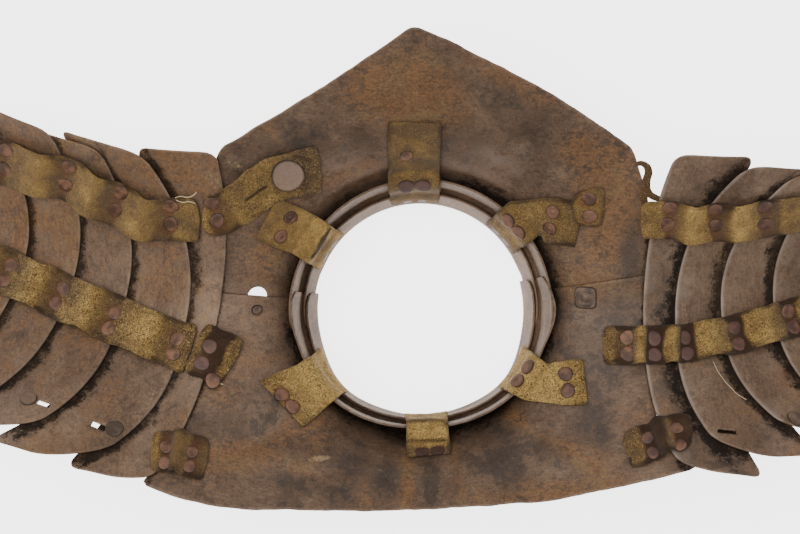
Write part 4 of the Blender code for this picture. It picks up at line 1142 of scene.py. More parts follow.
def build_plate(name, corners, span_deg, layer, material, thickness, rays=250, rings=76):
    """A main plate: rays from the flange to the outline, closer together at the turn."""
    low, high = (math.radians(a) for a in span_deg)
    angles = np.linspace(low, high, rays + 1)[:, None]
    outline = rounded_outline(corners)
    bearing = np.unwrap(np.arctan2(outline[:, 1], outline[:, 0]))
    bearing += 2 * math.pi * round((angles.mean() - bearing.mean()) / (2 * math.pi))
    reach = np.interp(angles[:, 0], bearing, np.hypot(*outline.T))[:, None]
    edge_x, edge_y = reach * np.cos(angles), reach * np.sin(angles)
    reach = reach + 0.45 * ripple(edge_x, edge_y, 14.0, 11) + 0.25 * ripple(edge_x, edge_y, 5.0, 12)
    share = ((np.arange(rings + 1) / rings) ** 1.35)[None]
    edge = NECK_EDGE_R + 0.9 * collar_dent(angles, 56.0)
    radius = edge + share * (reach - edge)
    x, y = radius * np.cos(angles), radius * np.sin(angles)
    hammer = HAMMER_HEIGHT * smooth((radius - FLANGE_R) / 20.0) * ripple(x, y, HAMMER_CELL, 21)
    middle = on_form(x, y, layer + hammer)[:, ::-1]
    values = {k: v[:, ::-1] for k, v in plate_wear(x, y, radius, np.broadcast_to(share, x.shape)).items()}
    return shell(name, middle, thickness, values, material, under={"soot_and_shade": 0.0, "pale": 0.0})


class GORGET_OT_plates(Operator):
    """Front and back plate, with the keyhole"""

    bl_idname = "gorget.plates"
    bl_label = "Plates"

    def execute(self, context):
        thick = context.scene.gorget_steel.thickness / MM
        steel = rusted_steel("rusted_mild_steel", context.scene.gorget_steel, (0.4, 1.0, 1.0))
        front = build_plate("front_plate_steel", FRONT_OUTLINE, FRONT_SPAN_DEG, FRONT_LAYER, steel, thick)
        back = build_plate("back_plate_steel", BACK_OUTLINE, BACK_SPAN_DEG, BACK_LAYER, steel, thick)
        x, y = KEYHOLE["x"], KEYHOLE["y"]
        spot = (on_form(x, y, FRONT_LAYER), form_normal(np.array(x), np.array(y)))
        pin = ((0.0, 1.0), (1.0, 1.0), (1.0, -1.0))
        points, faces, _ = turned([spot], pin, KEYHOLE["radius"], SLOT_DEPTH / 2, 40, 0.0, 1)
        carve(front, [make_piece("keyhole_tool", points, faces, {}, steel)])
        seat_piece(front, "rusted_steel", "front_plate")
        seat_piece(back, "rusted_steel", "back_plate")
        return {"FINISHED"}


def build_collar_half(name, lame, half, material, thickness, heights=22):
    """Half a collar lame: a flared wall, its ends rounded; the rim one turns outwards at its foot."""
    start, end = (math.radians(a) for a in COLLAR_SPANS[half])
    angles = np.linspace(start, end, 190)[:, None]
    inset = BACK_INSET if half == "back" else 0.0
    off = np.degrees(np.abs((angles + math.pi / 2) % math.pi - math.pi / 2))
    tab = smooth(1 - off / TAB_DEG)
    low = lame["low"] - TAB_BELOW * lame["tab"] * tab
    if half == "front" and lame is RIM_LAME:
        past_lap = np.degrees(np.minimum(angles, math.pi - angles))
        low = low + LAP_STEP * smooth((LAP_RUN - past_lap) / LAP_RISE)
    high = lame["high"] + lame["tab"] * tab
    to_end = np.minimum(angles - start, end - angles) * lame["radius"]
    rounding = 9.0
    cut = np.clip(1 - to_end / rounding, 0, 1)
    cut = rounding * (1 - np.sqrt(1 - cut**2))
    share = np.linspace(0, 1, heights + 1)[None]
    z = mix(low + (0 if lame is RIM_LAME else 1) * cut, high - cut, share)
    radius = collar_radius(lame, z) - inset
    if lame is BASE_LAME:
        radius = radius - BASE_CURL * smooth((BASE_CURL_FROM - z) / BASE_CURL_RUN)
    if half == "back" and lame is BASE_LAME:
        spread = np.where(np.cos(angles) > 0, TAB_SPREAD[0], TAB_SPREAD[1])
        radius = radius + spread * tab * share**3
    place = angles * 75.0
    if lame is RIM_LAME:
        foot = np.linspace(1.0, 0.2, 5)[None]
        z = np.hstack([np.broadcast_to(low, (len(angles), 5)), z])
        radius = np.hstack([radius[:, :1] + RIM_FLANGE * foot, radius])
    bend = smooth((z - low) / 6.0) if lame is RIM_LAME else 1.0
    place = place + 0 * z
    radius = radius + collar_dent(angles, z) + bend * (
        0.35 * ripple(place, z, 26.0, 31) + 0.08 * ripple(place, z, 7.0, 32))
    middle = np.stack([radius * np.cos(angles), radius * np.sin(angles), z], -1)
    top = smooth((z - high + 7.0) / 6.0)
    # Painted shade with dirt: each lame is darker towards its lower edge, in the gap between the lames.
    low_shade_and_dirt = 0.7 if lame is BASE_LAME else 0.3
    values = {
        "rust": 0.3 + 0.3 * cloud(place, z, 22.0, 33),
        "scale": 0.1 * np.ones_like(z),
        "soot_and_shade": np.clip(low_shade_and_dirt * (1 - smooth((z - low) / (0.14 * (high - low)))), 0, 1),
        "pale": 0.12 * np.ones_like(z),
        "bare_and_highlight": 0.22 * top + 0.15 * ripple(place, z, 18.0, 34) + (0.04 if half == "front" else 0.16),
    }
    return shell(name, middle, thickness, values, material)


class GORGET_OT_collar(Operator):
    """Base and rim lames of the collar, two halves each"""

    bl_idname = "gorget.collar"
    bl_label = "Collar"

    def execute(self, context):
        settings = context.scene.gorget_steel
        thick = settings.thickness / MM
        steel = rusted_steel("worn_mild_steel", settings, (1.0, 1.0, 0.15), 0.0, 0.3, 0.3, 0.15)
        for half in COLLAR_SPANS:
            for lame, kind in ((RIM_LAME, "rim"), (BASE_LAME, "base")):
                piece = build_collar_half(f"collar_{kind}_{half}_steel", lame, half, steel, thick)
                seat_piece(piece, "worn_steel", f"collar_{kind}_{half}")
        return {"FINISHED"}


def lame_wear(arm, number, x, y, s, t):
    """Dirt and painted shadow beside the next lame's edge, a rubbed inner edge with a painted highlight, a
    painted sheen and a paler painted band inside it, and clouds of rust and scale.
    """
    seed = 40 + 7 * number + (0 if arm == "right" else 3)
    inner = s * LAMES[number]["middle"]
    soot_and_shade = np.zeros_like(x)
    # Painted shadow with dirt on this lame beside the next lame's raised inner edge; it also pushes the colour
    # towards scale.
    if number + 1 < len(LAME_POSES[arm]):
        out, along = lame_frame(arm, number + 1, x, y)
        reach = np.maximum((9.0 if arm == "right" else 13.0) + 5.0 * cloud(x, y, 16.0, seed), 4.0)
        inside = 1 - smooth((np.abs(along) - 0.92) / 0.16)
        soot_and_shade = smooth(1.15 + out / reach) * mix(0.45, 1.0, inside) * np.where(out > 0, inside, 1)
    rusty = 0.55 + 0.1 * t if arm == "right" else 0.35 - 0.2 * t
    # The thin band at the inner edge is rubbed bare with a painted highlight; the wide band beside it is a
    # painted sheen.
    edge_bare_and_highlight, face_sheen = (0.35, 0.12) if arm == "right" else (0.55, 0.5)
    return {
        "rust": rusty + 0.35 * cloud(x, y, 24.0, seed + 1),
        "scale": (0.38 if (arm, number) == ("left", 0) else 0.14) + 0.34 * cloud(x, y, 22.0, seed + 2)
        - 0.15 * t + 0.3 * soot_and_shade,
        "soot_and_shade": soot_and_shade,
        # Painted highlight: paler in a broken band a few mm in from the inner edge.
        "pale": np.maximum(0.15 + 0.35 * bell(inner - 4.0, 9.0) * (cloud(x, y, 14.0, seed + 4) > 0.1),
                           patches(x, y, LAME_FLAKES)),
        "bare_and_highlight": edge_bare_and_highlight * bell(inner, 1.2) + face_sheen * bell(inner - 3.0, 9.0) * (
            0.7 + 0.7 * cloud(x, y, 18.0, seed + 6)),
    }


def build_lame(arm, number, material, thickness, across=26, along=120):
    """One crescent of the arm, on the form, with a crown and the marks of the hammer."""
    to_ends = np.sin(np.linspace(-1, 1, along + 1) * 1.35) / math.sin(1.35)  # closer together at the ends
    s, t = np.meshgrid(np.linspace(0, 1, across + 1), to_ends)
    x, y, share = lame_plan(arm, number, s, t)
    seed = 60 + number + (0 if arm == "right" else 10)
    hammer = 0.16 * ripple(x, y, 10.0, seed) + 0.3 * ripple(x, y, 32.0, seed + 5) * (1 - s)
    middle = on_form(x, y, lame_layer(number, share) + hammer)
    values = lame_wear(arm, number, x, y, share, t)
    if ARMS[arm]["side"] > 0:
        middle = middle[::-1]
        values = {key: value[::-1] for key, value in values.items()}
    return shell(f"{arm}_lame_{number + 1}_steel", middle, thickness, values, material,
                 under={"soot_and_shade": 0.0, "pale": 0.1})


class GORGET_OT_lames(Operator):
    """Six arm lames a side, with their slots and spare rivets"""

    bl_idname = "gorget.lames"
    bl_label = "Arm lames"

    def execute(self, context):
        settings = context.scene.gorget_steel
        steel = {
            "right": rusted_steel("brown_mild_steel", settings, (1.0, 0.24, 0.6), 0.07),
            "left": rusted_steel("grey_mild_steel", settings, (1.0, 0.24, 0.6), 0.06, 0.4),
        }
        iron = old_iron("lame_rivet_iron", settings, settings.patina, settings.shade)
        for arm, poses in LAME_POSES.items():
            for number in range(len(poses)):
                lame = build_lame(arm, number, steel[arm], settings.thickness / MM)
                tools = []
                for side, which, x, y, length, width, turn in LAME_SLOTS:
                    if (side, which) == (arm, number):
                        x, y = np.array(x), np.array(y)
                        seat, normal = on_form(x, y, sheet_layer(x, y)), form_normal(x, y)
                        tools.append(bar("slot_tool", seat, normal, length, width, turn, steel[arm]))
                if tools:
                    carve(lame, tools)
                seat_piece(lame, "rusted_steel", f"{arm}_lame_{number + 1}")
        for arm, number, x, y in LAME_RIVETS:
            x, y = np.array(x), np.array(y)
            spot = (on_form(x, y, sheet_layer(x, y) + PLATE / 2), form_normal(x, y))
            points, faces, share = turned([spot], DISC_PROFILE, 5.4, 1.0, 36, 0.05, number)
            head = make_piece(f"{arm}_lame_{number + 1}_rivet", points, faces, {"rim": share}, iron)
            seat_piece(head, "old_iron")
        return {"FINISHED"}


def head_dip(x, y, heads, reach):
    """How near the closest rivet head each point lies, 1 at its middle and 0 beyond its reach."""
    near = np.zeros(np.broadcast(x, y).shape)
    for hx, hy in heads:
        near = np.maximum(near, bell(np.hypot(x - hx, y - hy), reach))
    return near


def grooves(x, y, table):
    """Cuts and sharp folds: a bell across each line of the plan, fading at the line's ends."""
    depth = np.zeros(np.broadcast(x, y).shape)
    for x0, y0, x1, y1, low, width in table:
        length = math.hypot(x1 - x0, y1 - y0)
        ux, uy = (x1 - x0) / length, (y1 - y0) / length
        along = ((x - x0) * ux + (y - y0) * uy) / length
        across = (y - y0) * ux - (x - x0) * uy
        inside = smooth(8 * along) * smooth(8 * (1 - along))
        depth = np.maximum(depth, low * bell(across, width) * inside)
    return depth


class ShoulderLeather:
    """A leather laid along a route: what is under it lifts it, and it swells between rivets."""

    def __init__(self, route, widths, rivets, look, single=(), grooves=(), dim=(), spacing=PAIR_SPACING,
                 head=HEAD_RADIUS, swell=STRAP_SWELL):
        corners = np.array(route, float)
        length = np.concatenate([[0], np.cumsum(np.hypot(*np.diff(corners, axis=0).T))])
        self.far = length[-1]
        self.dist = np.linspace(0, self.far, round(self.far) + 1)
        line = [np.interp(self.dist, length, corners[:, i]) for i in (0, 1)]
        self.line = np.stack([slide(c, ROUTE_EVEN, np.mean) for c in line], -1)
        way = np.gradient(self.line, axis=0)
        way /= np.linalg.norm(way, axis=1, keepdims=True)
        self.across = np.stack([-way[:, 1], way[:, 0]], -1)
        self.widths, self.look = widths, look
        sides = np.linspace(-UNDER_SHARE, UNDER_SHARE, UNDER_RAYS) * max(widths)
        near = self.line[:, None] + sides[:, None] * self.across[:, None]
        lift = sheet_layer(near[..., 0], near[..., 1]).max(axis=1)
        lift = slide(slide(lift, LIFT_SPREAD, np.max), LIFT_EVEN, np.mean)
        self.lift = lift + PLATE / 2 + LEATHER_GAP + LEATHER / 2
        self.stops = sorted(self.nearest(x, y) for x, y in rivets)
        before, after = [-ROUTE_BEYOND], [self.far + ROUTE_BEYOND]
        level = [(stop - LEVEL_HALF, stop + LEVEL_HALF) for stop in self.stops]
        knots = np.concatenate([before, *level, after])
        places = np.concatenate([before, np.repeat(self.stops, 2), after])
        lift = np.interp(np.interp(self.dist, knots, places), self.dist, self.lift)
        self.lift = slide(lift, LEVEL_EVEN, np.mean)
        self.pairs, self.single, self.grooves = rivets, single, grooves
        self.dim = (tuple(dim) + (0.3,) * 9)[: max(len(rivets), 1) + len(single)]
        self.spacing, self.head, self.rise = spacing, head, swell

    def nearest(self, x, y):
        return int(np.argmin(np.hypot(*(self.line - (x, y)).T)))

    def swell(self, dist):
        """Between two rivet pairs the leather stands up in one soft bulge, steeper at one side."""
        height = np.zeros_like(dist)
        for low, high in zip(self.stops, self.stops[1:]):
            if SWELL_SPAN[0] < high - low < SWELL_SPAN[1]:
                start, span = low + SWELL_START, high - low - 2 * SWELL_START
                u = np.clip((dist - start) / span, 0, 1) ** SWELL_SKEW
                height += self.rise * np.sin(math.pi * u) ** 2
        return height

    def plan(self, dist, offset):
        x, y = (np.interp(dist, self.dist, self.line[:, i]) for i in (0, 1))
        across_x, across_y = (np.interp(dist, self.dist, self.across[:, i]) for i in (0, 1))
        return x + offset * across_x, y + offset * across_y

    def layer(self, dist):
        return np.interp(dist, self.dist, self.lift) + self.swell(dist)

    def heads_plan(self):
        """Places of the rivet heads in plan, and how greasy each one is."""
        spots = []
        for (x, y), dim in zip(self.pairs, self.dim):
            dist = float(self.nearest(x, y))
            spots += [(*self.plan(dist, side * self.spacing / 2), dim) for side in (-1, 1)]
        return spots + [(x, y, dim) for (x, y), dim in zip(self.single, self.dim[::-1])]

    def heads(self, middle):
        """Each head sits on the hide, at the grid point nearest to its place in plan."""
        normal = up_normals(middle)
        spots = []
        for x, y, dim in self.heads_plan():
            at = np.unravel_index(np.argmin(np.hypot(middle[..., 0] - x, middle[..., 1] - y)), middle.shape[:2])
            seat = middle[at] + normal[at] * (LEATHER / 2 - HEAD_SINK)
            spots.append(Head(seat, normal[at], self.head, HEAD_HEIGHT, dim, "rivets"))
        return spots

    def grid(self, seed):
        """Middle points and wear of the leather, from the neck outwards and from side to side."""
        look = self.look
        count = max(14, round(self.far / LEATHER_CELL))
        share = np.linspace(0, 1, count + 1)[:, None]
        wide = round(max(self.widths) / LEATHER_CELL)
        v = np.linspace(-1, 1, wide + 1)[None]
        dist = share * self.far
        half = mix(self.widths[0], self.widths[1], share) / 2
        short = np.clip(STRAP_CORNER - np.minimum(dist, self.far - dist), 0, STRAP_CORNER)
        half = half - STRAP_CORNER + np.sqrt(STRAP_CORNER**2 - short**2 + 1e-9)
        edge = np.sign(v) * 200.0 + 0 * dist
        stray = 0.8 * ripple(dist, edge, 9.0, seed) + 0.35 * ripple(dist, edge, 2.6, seed + 1)
        offset = v * (half + look["ragged"] * stray * np.abs(v))
        lean = mix(look["slant"][0] * (1 - share) ** 3, look["slant"][1] * share**3, share)
        end_stray = look["ragged"] * 0.9 * ripple(offset, 0 * offset, 5.0, seed + 2) * (
            np.exp(-dist / 5.0) - np.exp(-(self.far - dist) / 5.0))
        dist = np.clip(dist + lean * offset - end_stray, -1.5, self.far + 1.5)
        x, y = self.plan(dist, offset)
        heads = [(hx, hy) for hx, hy, _ in self.heads_plan()]
        dip = head_dip(x, y, heads, 5.0)
        wave = 0.35 * ripple(dist, offset, 7.0, seed + 3) + 0.5 * ripple(dist, offset, 16.0, seed + 4)
        curl = 0.7 * np.abs(v) ** 4 * ripple(dist, edge, 18.0, seed + 5)
        cut = grooves(x, y, self.grooves)
        layer = self.layer(dist) + (1 - dip) * (wave + curl + 0.35) - 0.25 * dip - cut
        middle = on_form(x, y, layer)
        values = self.wear(dist, offset, v, x, y, heads, seed)
        # Painted shade in the grooves.
        values["shade"] = np.maximum(values["shade"], np.clip(cut, 0, 1))
        return middle, values

    def wear(self, dist, offset, v, x, y, heads, seed):
        """Golden on the bulges, a painted highlight; scorched and greasy in the bands at the rivets and on the
        edges; painted shade off the bulges.
        """
        look = self.look
        band = np.zeros_like(dist)
        shift, reach = look.get("band", (3.5, 9.0))
        for stop, dim in zip(self.stops, self.dim):
            stray = 1.2 * ripple(offset, 0 * dist + stop, 7.0, seed + 9)
            from_band = np.abs(dist - stop - shift + stray)
            band = np.maximum(band, (0.45 + 0.55 * dim) * smooth((reach - from_band) / (0.45 * reach)))
        bulge = self.swell(dist) / self.rise
        far = look.get("far", 0.0) * smooth(2.4 * dist / self.far - 1.4)
        mottle = cloud(dist, offset, 12.0, seed + 6)
        edge = np.abs(v) ** 5 * (0.7 + 0.6 * ripple(dist, v * 40.0, 6.0, seed + 7))
        halo = head_dip(x, y, heads, 6.2)
        return {
            "nap": np.clip(look["nap"] * (1 - 0.8 * band) + 0.15 * mottle, 0, 1),
            # Painted highlight: more golden on the bulges.
            "tan": np.clip(look["tan"] * (0.6 + 0.6 * bulge + far) + 0.25 * mottle - 0.3 * band, 0, 1),
            # Dark in the bands at the rivets and on the edges; darker off the bulges is painted shade.
            "shade": np.clip(look["soot_and_shade"] * (1.05 * band + 0.8 * edge) + 0.24 * mottle
                             + 0.15 * look["soot_and_shade"] * (1 - bulge), 0, 1),
            "stain": np.clip(0.6 * halo + 0.35 * band + 0.2 * mottle + look.get("stain", 0.0), 0, 1),
        }


class NeckLeather:
    """A strip from a plate over both collar lames, lying against their inner sides."""

    def __init__(self, collar, end, width, heads_at, half, shape, look, rows, grooves=(), slant=0.0):
        self.collar, self.end = math.radians(collar), np.array(end)
        self.width, self.heads_at, self.rows = width, heads_at, rows
        self.shape, self.look, self.grooves, self.slant = shape, look, grooves, slant
        self.lift = (FRONT_LAYER if half == "front" else BACK_LAYER) + PLATE / 2 + LEATHER_GAP + LEATHER / 2
        self.inset = 0.0 if half == "front" else BACK_INSET

    def on_plate(self, share, offset):
        """From the collar, where it follows the arc, straight to its end on the plate."""
        near = NECK_PATH_PLATE * np.array([math.cos(self.collar), math.sin(self.collar)])
        way = self.end - near
        length = np.hypot(*way)
        share = share * (1 + self.slant * offset / length)
        angle = self.collar + offset / NECK_PATH_PLATE
        bend = smooth(share * 1.8)
        x = mix(NECK_PATH_PLATE * np.cos(angle), near[0] - way[1] / length * offset, bend) + way[0] * share
        y = mix(NECK_PATH_PLATE * np.sin(angle), near[1] + way[0] / length * offset, bend) + way[1] * share
        return on_form(x, y, self.lift)

    def in_collar(self, radius, z, offset):
        angle = self.collar + offset / radius
        radius = radius + collar_dent(angle, z) * smooth((NECK_PATH_PLATE - radius) / 10.0)
        return np.stack(np.broadcast_arrays(radius * np.cos(angle), radius * np.sin(angle), z), -1)

    def heads(self, middle):
        """The rows on the plate, over the base lame and inside the rim lame, seated on the hide."""
        normal = up_normals(middle)
        radius = np.hypot(middle[..., 0], middle[..., 1])
        column = middle.shape[1] // 2
        plate_z = middle[np.argmin(np.abs(radius[:, column] - self.heads_at)), column, 2]
        spots = []
        for place, count, spacing, size, height, dim, kind in self.rows:
            ring, z = HEADS_AT.get(place, (self.heads_at, plate_z))
            if place != "plate":
                ring = ring - self.inset + float(collar_dent(self.collar, z))
            row = np.argmin(np.hypot(radius[:, column] - ring, middle[:, column, 2] - z))
            for side in (-1, 1)[-count:]:
                near = np.linalg.norm(middle[row] - middle[row, column], axis=-1) - spacing / 2
                half = np.arange(middle.shape[1])[column:] if side > 0 else np.arange(column + 1)
                j = half[np.argmin(np.abs(near[half]))]
                seat = middle[row, j] + normal[row, j] * (LEATHER / 2 - HEAD_SINK)
                spots.append(Head(seat, normal[row, j], size, height, dim, kind))
        return spots

    def grid(self, seed):
        """Middle points: each column's bent path is spaced evenly, then its bends are evened out."""
        radius = np.linspace(1.0, 0.0, 24)[:, None]
        path = np.array(NECK_PATH)
        wide = round(self.width / LEATHER_CELL)
        v = np.linspace(-1, 1, wide + 1)[None]
        raw = self.stack(radius, path, v * self.width / 2)
        length = np.concatenate([[0], np.cumsum(np.linalg.norm(np.diff(raw[:, wide // 2], axis=0), axis=1))])
        count = round(length[-1] / LEATHER_CELL)
        dist = np.linspace(0, length[-1], count + 1)
        share = dist / length[-1]
        factor = np.interp(share, np.linspace(0, 1, len(self.shape)), self.shape)
        factor = np.interp(length / length[-1], share, slide(factor, 5, np.mean))[:, None]
        along = length[:, None] + 0 * v
        edge = np.sign(v) * 200.0
        ragged = self.look["ragged"]
        stray = ragged * np.abs(v) * (0.7 * ripple(along, edge + 0 * along, 8.0, seed)
                                      + 0.3 * ripple(along, edge + 0 * along, 2.6, seed + 1))
        raw = self.stack(radius, path, v * (factor * self.width / 2) + np.sign(v) * stray)
        even = np.stack([
            np.stack([np.interp(dist, length, raw[:, j, i]) for i in range(3)], -1)
            for j in range(raw.shape[1])
        ], 1)
        reach = max(1, round(2.2 / LEATHER_CELL))
        middle = np.stack([
            np.stack([slide(even[:, j, i], reach, np.mean) for i in range(3)], -1)
            for j in range(even.shape[1])
        ], 1)
        dist = dist[:, None] + 0 * v
        offset = v * self.width / 2 + 0 * dist
        heads = np.array([spot[0] for spot in self.heads(middle)])
        near = np.linalg.norm(middle[:, :, None] - heads, axis=-1).min(-1)
        dip = bell(np.maximum(near - LEATHER / 2, 0), 5.0)
        cut = grooves(middle[..., 0], middle[..., 1], self.grooves)
        wave = -cut + 0.3 * ripple(dist, offset, 7.0, seed + 3) + 0.35 * ripple(dist, offset, 15.0, seed + 4)
        middle = middle + grid_normals(middle) * ((1 - dip) * wave)[..., None]
        values = self.wear(dist, offset, v, near, length[-1], seed)
        # Painted shade in the grooves.
        values["shade"] = np.maximum(values["shade"], np.clip(cut, 0, 1))
        return middle, values

    def stack(self, radius, path, offset):
        offset = np.broadcast_to(offset, (len(radius) + len(path), offset.shape[1]))
        upper = self.on_plate(radius, offset[: len(radius)])
        lower = self.in_collar(path[:, :1] - self.inset, path[:, 1:], offset[len(radius):])
        return np.vstack([upper, lower])

    def wear(self, dist, offset, v, near, far, seed):
        """Dirty on the plate, painted shade in the bends, golden where it crosses between the lames."""
        look = self.look
        mottle = cloud(dist, offset, 11.0, seed + 6)
        edge = np.abs(v) ** 6
        # Painted shade in a bend a third of the way along the strip.
        bends = bell(dist - 0.33 * far, 3.0) * smooth(0.8 + ripple(offset, dist, 9.0, seed + 8))
        crossing = smooth(dist / (0.3 * far))
        halo = bell(np.maximum(near - 2.0, 0), 4.5)
        return {
            "nap": np.clip(look["nap"] + 0.2 * mottle, 0, 1),
            "tan": np.clip(look["tan"] * (0.6 + 0.7 * crossing) + 0.25 * mottle, 0, 1),
            "shade": np.clip(look["soot_and_shade"] * (0.5 * bends + 0.7 * edge + 0.4 * halo + 0.5 * (1 - crossing))
                             + 0.2 * mottle, 0, 1),
            "stain": np.clip(0.7 * halo + 0.2 * mottle, 0, 1),
        }


def build_leather(name, leather, seed, hide, iron, thickness, loose=()):
    """The hide and its rivet heads. The hide stands for the whole CAD node."""
    middle, values = leather.grid(seed)
    spots = leather.heads(middle)
    if grid_normals(middle)[..., 2].sum() < 0:
        middle = middle[:, ::-1]
        values = {key: value[:, ::-1] for key, value in values.items()}
    piece = shell(f"{name}_hide", middle, thickness, values, hide, rim=4)
    seat_piece(piece, "buff_leather", name)
    extra = list(loose)
    for kind, profile in (("rivets", DOME_PROFILE), ("washers", RING_PROFILE)):
        chosen = [spot for spot in spots if spot.kind == kind]
        if chosen:
            sizes = [s.radius for s in chosen], [s.height for s in chosen]
            points, faces, share = turned(chosen, profile, *sizes, 28, 0.06, seed)
            dim = np.repeat([s.dim for s in chosen], len(points) // len(chosen))
            heads = make_piece(f"{name}_{kind}", points, faces, {"rim": share, "dim": dim}, iron)
            extra.append(seat_piece(heads, "old_iron"))


def build_shred(name, sizes, material):
    """A narrow strip along a rounded route, tapering to both ends."""
    corners = np.array(sizes["route"], float)
    length = np.concatenate([[0], np.cumsum(np.hypot(*np.diff(corners, axis=0).T))])
    dist = np.linspace(0, length[-1], round(length[-1] / 0.5) + 1)
    line = np.stack([slide(np.interp(dist, length, corners[:, i]), 3, np.mean) for i in (0, 1)], -1)
    way = np.gradient(line, axis=0)
    way /= np.linalg.norm(way, axis=1, keepdims=True)
    taper = 0.55 + 0.45 * np.sin(math.pi * dist / length[-1]) + 0.2 * ripple(dist, 0 * dist, 4.0, 3)
    offset = np.linspace(-0.5, 0.5, 5)[None] * sizes["width"] * taper[:, None]
    x, y = line[:, :1] - way[:, 1:] * offset, line[:, 1:] + way[:, :1] * offset
    middle = on_form(x, y, sizes["lift"] + 0.4 * ripple(x, y, 5.0, 9))
    if grid_normals(middle)[..., 2].sum() < 0:
        middle = middle[:, ::-1]
    values = {"nap": 0.5, "tan": 0.1, "shade": 0.5, "stain": 0.4}
    piece = shell(name, middle, sizes["thick"], values, material)
    return seat_piece(piece, "buff_leather")


class GORGET_OT_shoulder_leathers(Operator):
    """Leathers that carry the arm lames, and the strap to the stud"""

    bl_idname = "gorget.shoulder_leathers"
    bl_label = "Shoulder leathers"

    def execute(self, context):
        steel = context.scene.gorget_steel
        hide = buff_leather("buff_hide", context.scene.gorget_leather)
        fibre = loose_fibre("frayed_fibre", context.scene.gorget_leather)
        thick = context.scene.gorget_leather.thickness / MM
        iron = old_iron("rivet_iron", steel, steel.head, steel.head_low)
        for number, (name, sizes) in enumerate(STRAPS.items()):
            loose = [build_shred(key, strip, material) for table, material in ((SHREDS, hide), (THREADS, fibre))
                     for key, strip in table.items() if key.startswith(name)]
            leather = ShoulderLeather(**sizes)
            build_leather(name, leather, 100 + 9 * number, hide, iron, thick, loose)
        return {"FINISHED"}


class GORGET_OT_neck_leathers(Operator):
    """Six short leathers that hold the collar lames to the plates"""

    bl_idname = "gorget.neck_leathers"
    bl_label = "Neck leathers"

    def execute(self, context):
        steel = context.scene.gorget_steel
        hide = buff_leather("buff_hide_neck", context.scene.gorget_leather)
        thick = context.scene.gorget_leather.thickness / MM
        iron = old_iron("neck_rivet_iron", steel, steel.head, steel.head_low)
        for number, (name, sizes) in enumerate(NECK_LEATHERS.items()):
            build_leather(name, NeckLeather(**sizes), 200 + 9 * number, hide, iron, thick)
        return {"FINISHED"}


class GORGET_OT_fastenings(Operator):
    """The strap's large stud, the stud in the keyhole and the washer over the side pivot"""

    bl_idname = "gorget.fastenings"
    bl_label = "Fastenings"

    def execute(self, context):
        steel = context.scene.gorget_steel
        bright = old_iron("stud_iron", steel, steel.stud, steel.light)
        dull = old_iron("washer_iron", steel, steel.patina, steel.shade)
        strap = ShoulderLeather(**STRAPS["right_stud_leather"])
        on_strap = float(strap.layer(np.array(float(strap.nearest(STUD["x"], STUD["y"]))))) + LEATHER / 2
        on_back = BACK_LAYER + PLATE / 2
        rows = (
            ("strap_stud", STUD, on_strap, DISC_PROFILE, 0.02, 0.0, bright),
            ("keyhole_stud", FASTENER, on_back, DOME_PROFILE, 0.05, 0.0, dull),
            ("pivot_washer", {**WASHER, "radius": WASHER["side"] / 2, "height": WASHER["thick"]},
             on_back, RING_PROFILE, 0.02, 0.45, dull),
        )
        for seed, (name, size, layer, profile, wobble, square, material) in enumerate(rows):
            x, y = np.array(size["x"]), np.array(size["y"])
            spot = (on_form(x, y, layer + SEAT_GAP), form_normal(x, y))
            radius, height = size["radius"], size["height"]
            points, faces, share = turned([spot], profile, radius, height, 48, wobble, seed, square)
            piece = make_piece(f"{name}_iron", points, faces, {"rim": share}, material)
            seat_piece(piece, "old_iron", name)
        return {"FINISHED"}


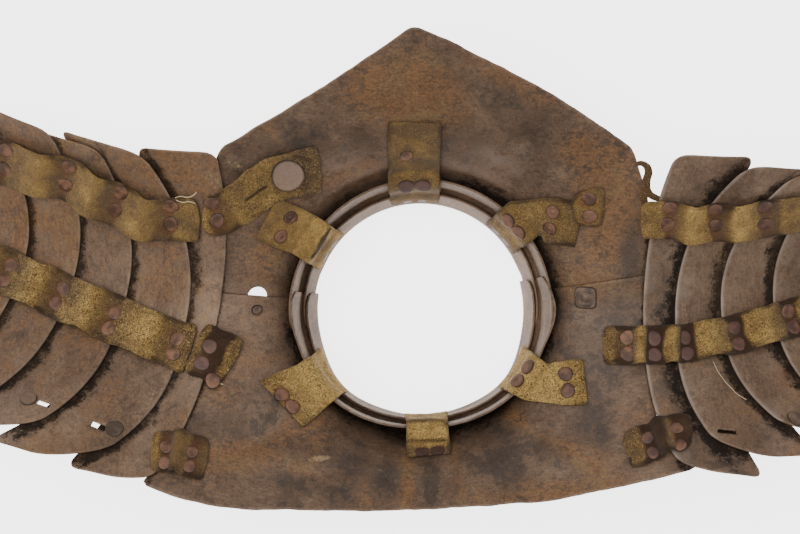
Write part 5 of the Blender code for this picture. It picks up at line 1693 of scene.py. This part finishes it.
class GORGET_OT_stage(Operator):
    """Pale floor that glows like a light table, even light, one large soft light and the camera"""

    bl_idname = "gorget.stage"
    bl_label = "Stage"

    def execute(self, context):
        settings = context.scene.gorget_stage
        material, tree, shader, where = new_material("painted_board")
        tint = blend(tree, grain(tree, where, 60.0, 3.0), (*settings.floor, 1.0), (0.9, 0.9, 0.9, 1.0))
        tree.links.new(tint, shader.inputs["Base Color"])
        shader.inputs["Roughness"].default_value = 0.9
        shader.inputs["Emission Color"].default_value = (1.0, 1.0, 1.0, 1.0)
        shader.inputs["Emission Strength"].default_value = settings.glow
        points = np.array([(x, y, -FLOOR_GAP) for x, y in np.array(FLOOR_CORNERS) * FLOOR_HALF])
        floor = make_piece("floor", points, [np.array([[0, 1, 2, 3]])], {}, material)
        world = bpy.data.worlds.new("even_light")
        world.use_nodes = True
        world.node_tree.nodes["Background"].inputs["Color"].default_value = (1.0, 1.0, 1.0, 1.0)
        world.node_tree.nodes["Background"].inputs["Strength"].default_value = settings.sky
        context.scene.world = world
        lamp = bpy.data.lights.new("soft_light", "AREA")
        lamp.shape, lamp.size, lamp.energy = "DISK", 1.6, settings.key
        light = bpy.data.objects.new("soft_light", lamp)
        light.location = (-0.35, 0.15, 1.9)
        aim = light.location.copy()
        aim.negate()
        light.rotation_euler = aim.to_track_quat("-Z", "Y").to_euler()
        context.scene.collection.objects.link(light)
        lens = bpy.data.cameras.new("camera")
        lens.sensor_width, lens.lens = 36.0, 104.49
        camera = bpy.data.objects.new("camera", lens)
        camera.location = (-0.0113, 0.0034, settings.camera_height)
        context.scene.collection.objects.link(camera)
        context.scene.camera = camera
        return {"FINISHED"}


class GORGET_PT_pieces(Panel):
    """Lists the steps that dress the frame"""

    bl_label = "Almain collar"
    bl_space_type = "VIEW_3D"
    bl_region_type = "UI"
    bl_category = "Collar"

    def draw(self, context):
        for operator in OPERATORS:
            self.layout.operator(operator.bl_idname)
        for group in (context.scene.gorget_steel, context.scene.gorget_leather, context.scene.gorget_stage):
            for key in group.__annotations__:
                self.layout.prop(group, key)


OPERATORS = (
    GORGET_OT_plates,
    GORGET_OT_collar,
    GORGET_OT_lames,
    GORGET_OT_shoulder_leathers,
    GORGET_OT_neck_leathers,
    GORGET_OT_fastenings,
    GORGET_OT_stage,
)
GROUPS = (("gorget_steel", SteelSettings), ("gorget_leather", LeatherSettings), ("gorget_stage", StageSettings))


def register():
    for key, group in GROUPS:
        bpy.utils.register_class(group)
        setattr(bpy.types.Scene, key, PointerProperty(type=group))
    for operator in OPERATORS:
        bpy.utils.register_class(operator)
    bpy.utils.register_class(GORGET_PT_pieces)


def unregister():
    bpy.utils.unregister_class(GORGET_PT_pieces)
    for operator in reversed(OPERATORS):
        bpy.utils.unregister_class(operator)
    for key, group in reversed(GROUPS):
        delattr(bpy.types.Scene, key)
        bpy.utils.unregister_class(group)


def main():
    """Builds every group of pieces."""
    register()
    bpy.ops.gorget.plates()
    bpy.ops.gorget.collar()
    bpy.ops.gorget.lames()
    bpy.ops.gorget.shoulder_leathers()
    bpy.ops.gorget.neck_leathers()
    bpy.ops.gorget.fastenings()
    bpy.ops.gorget.stage()


if __name__ == "__main__":
    main()
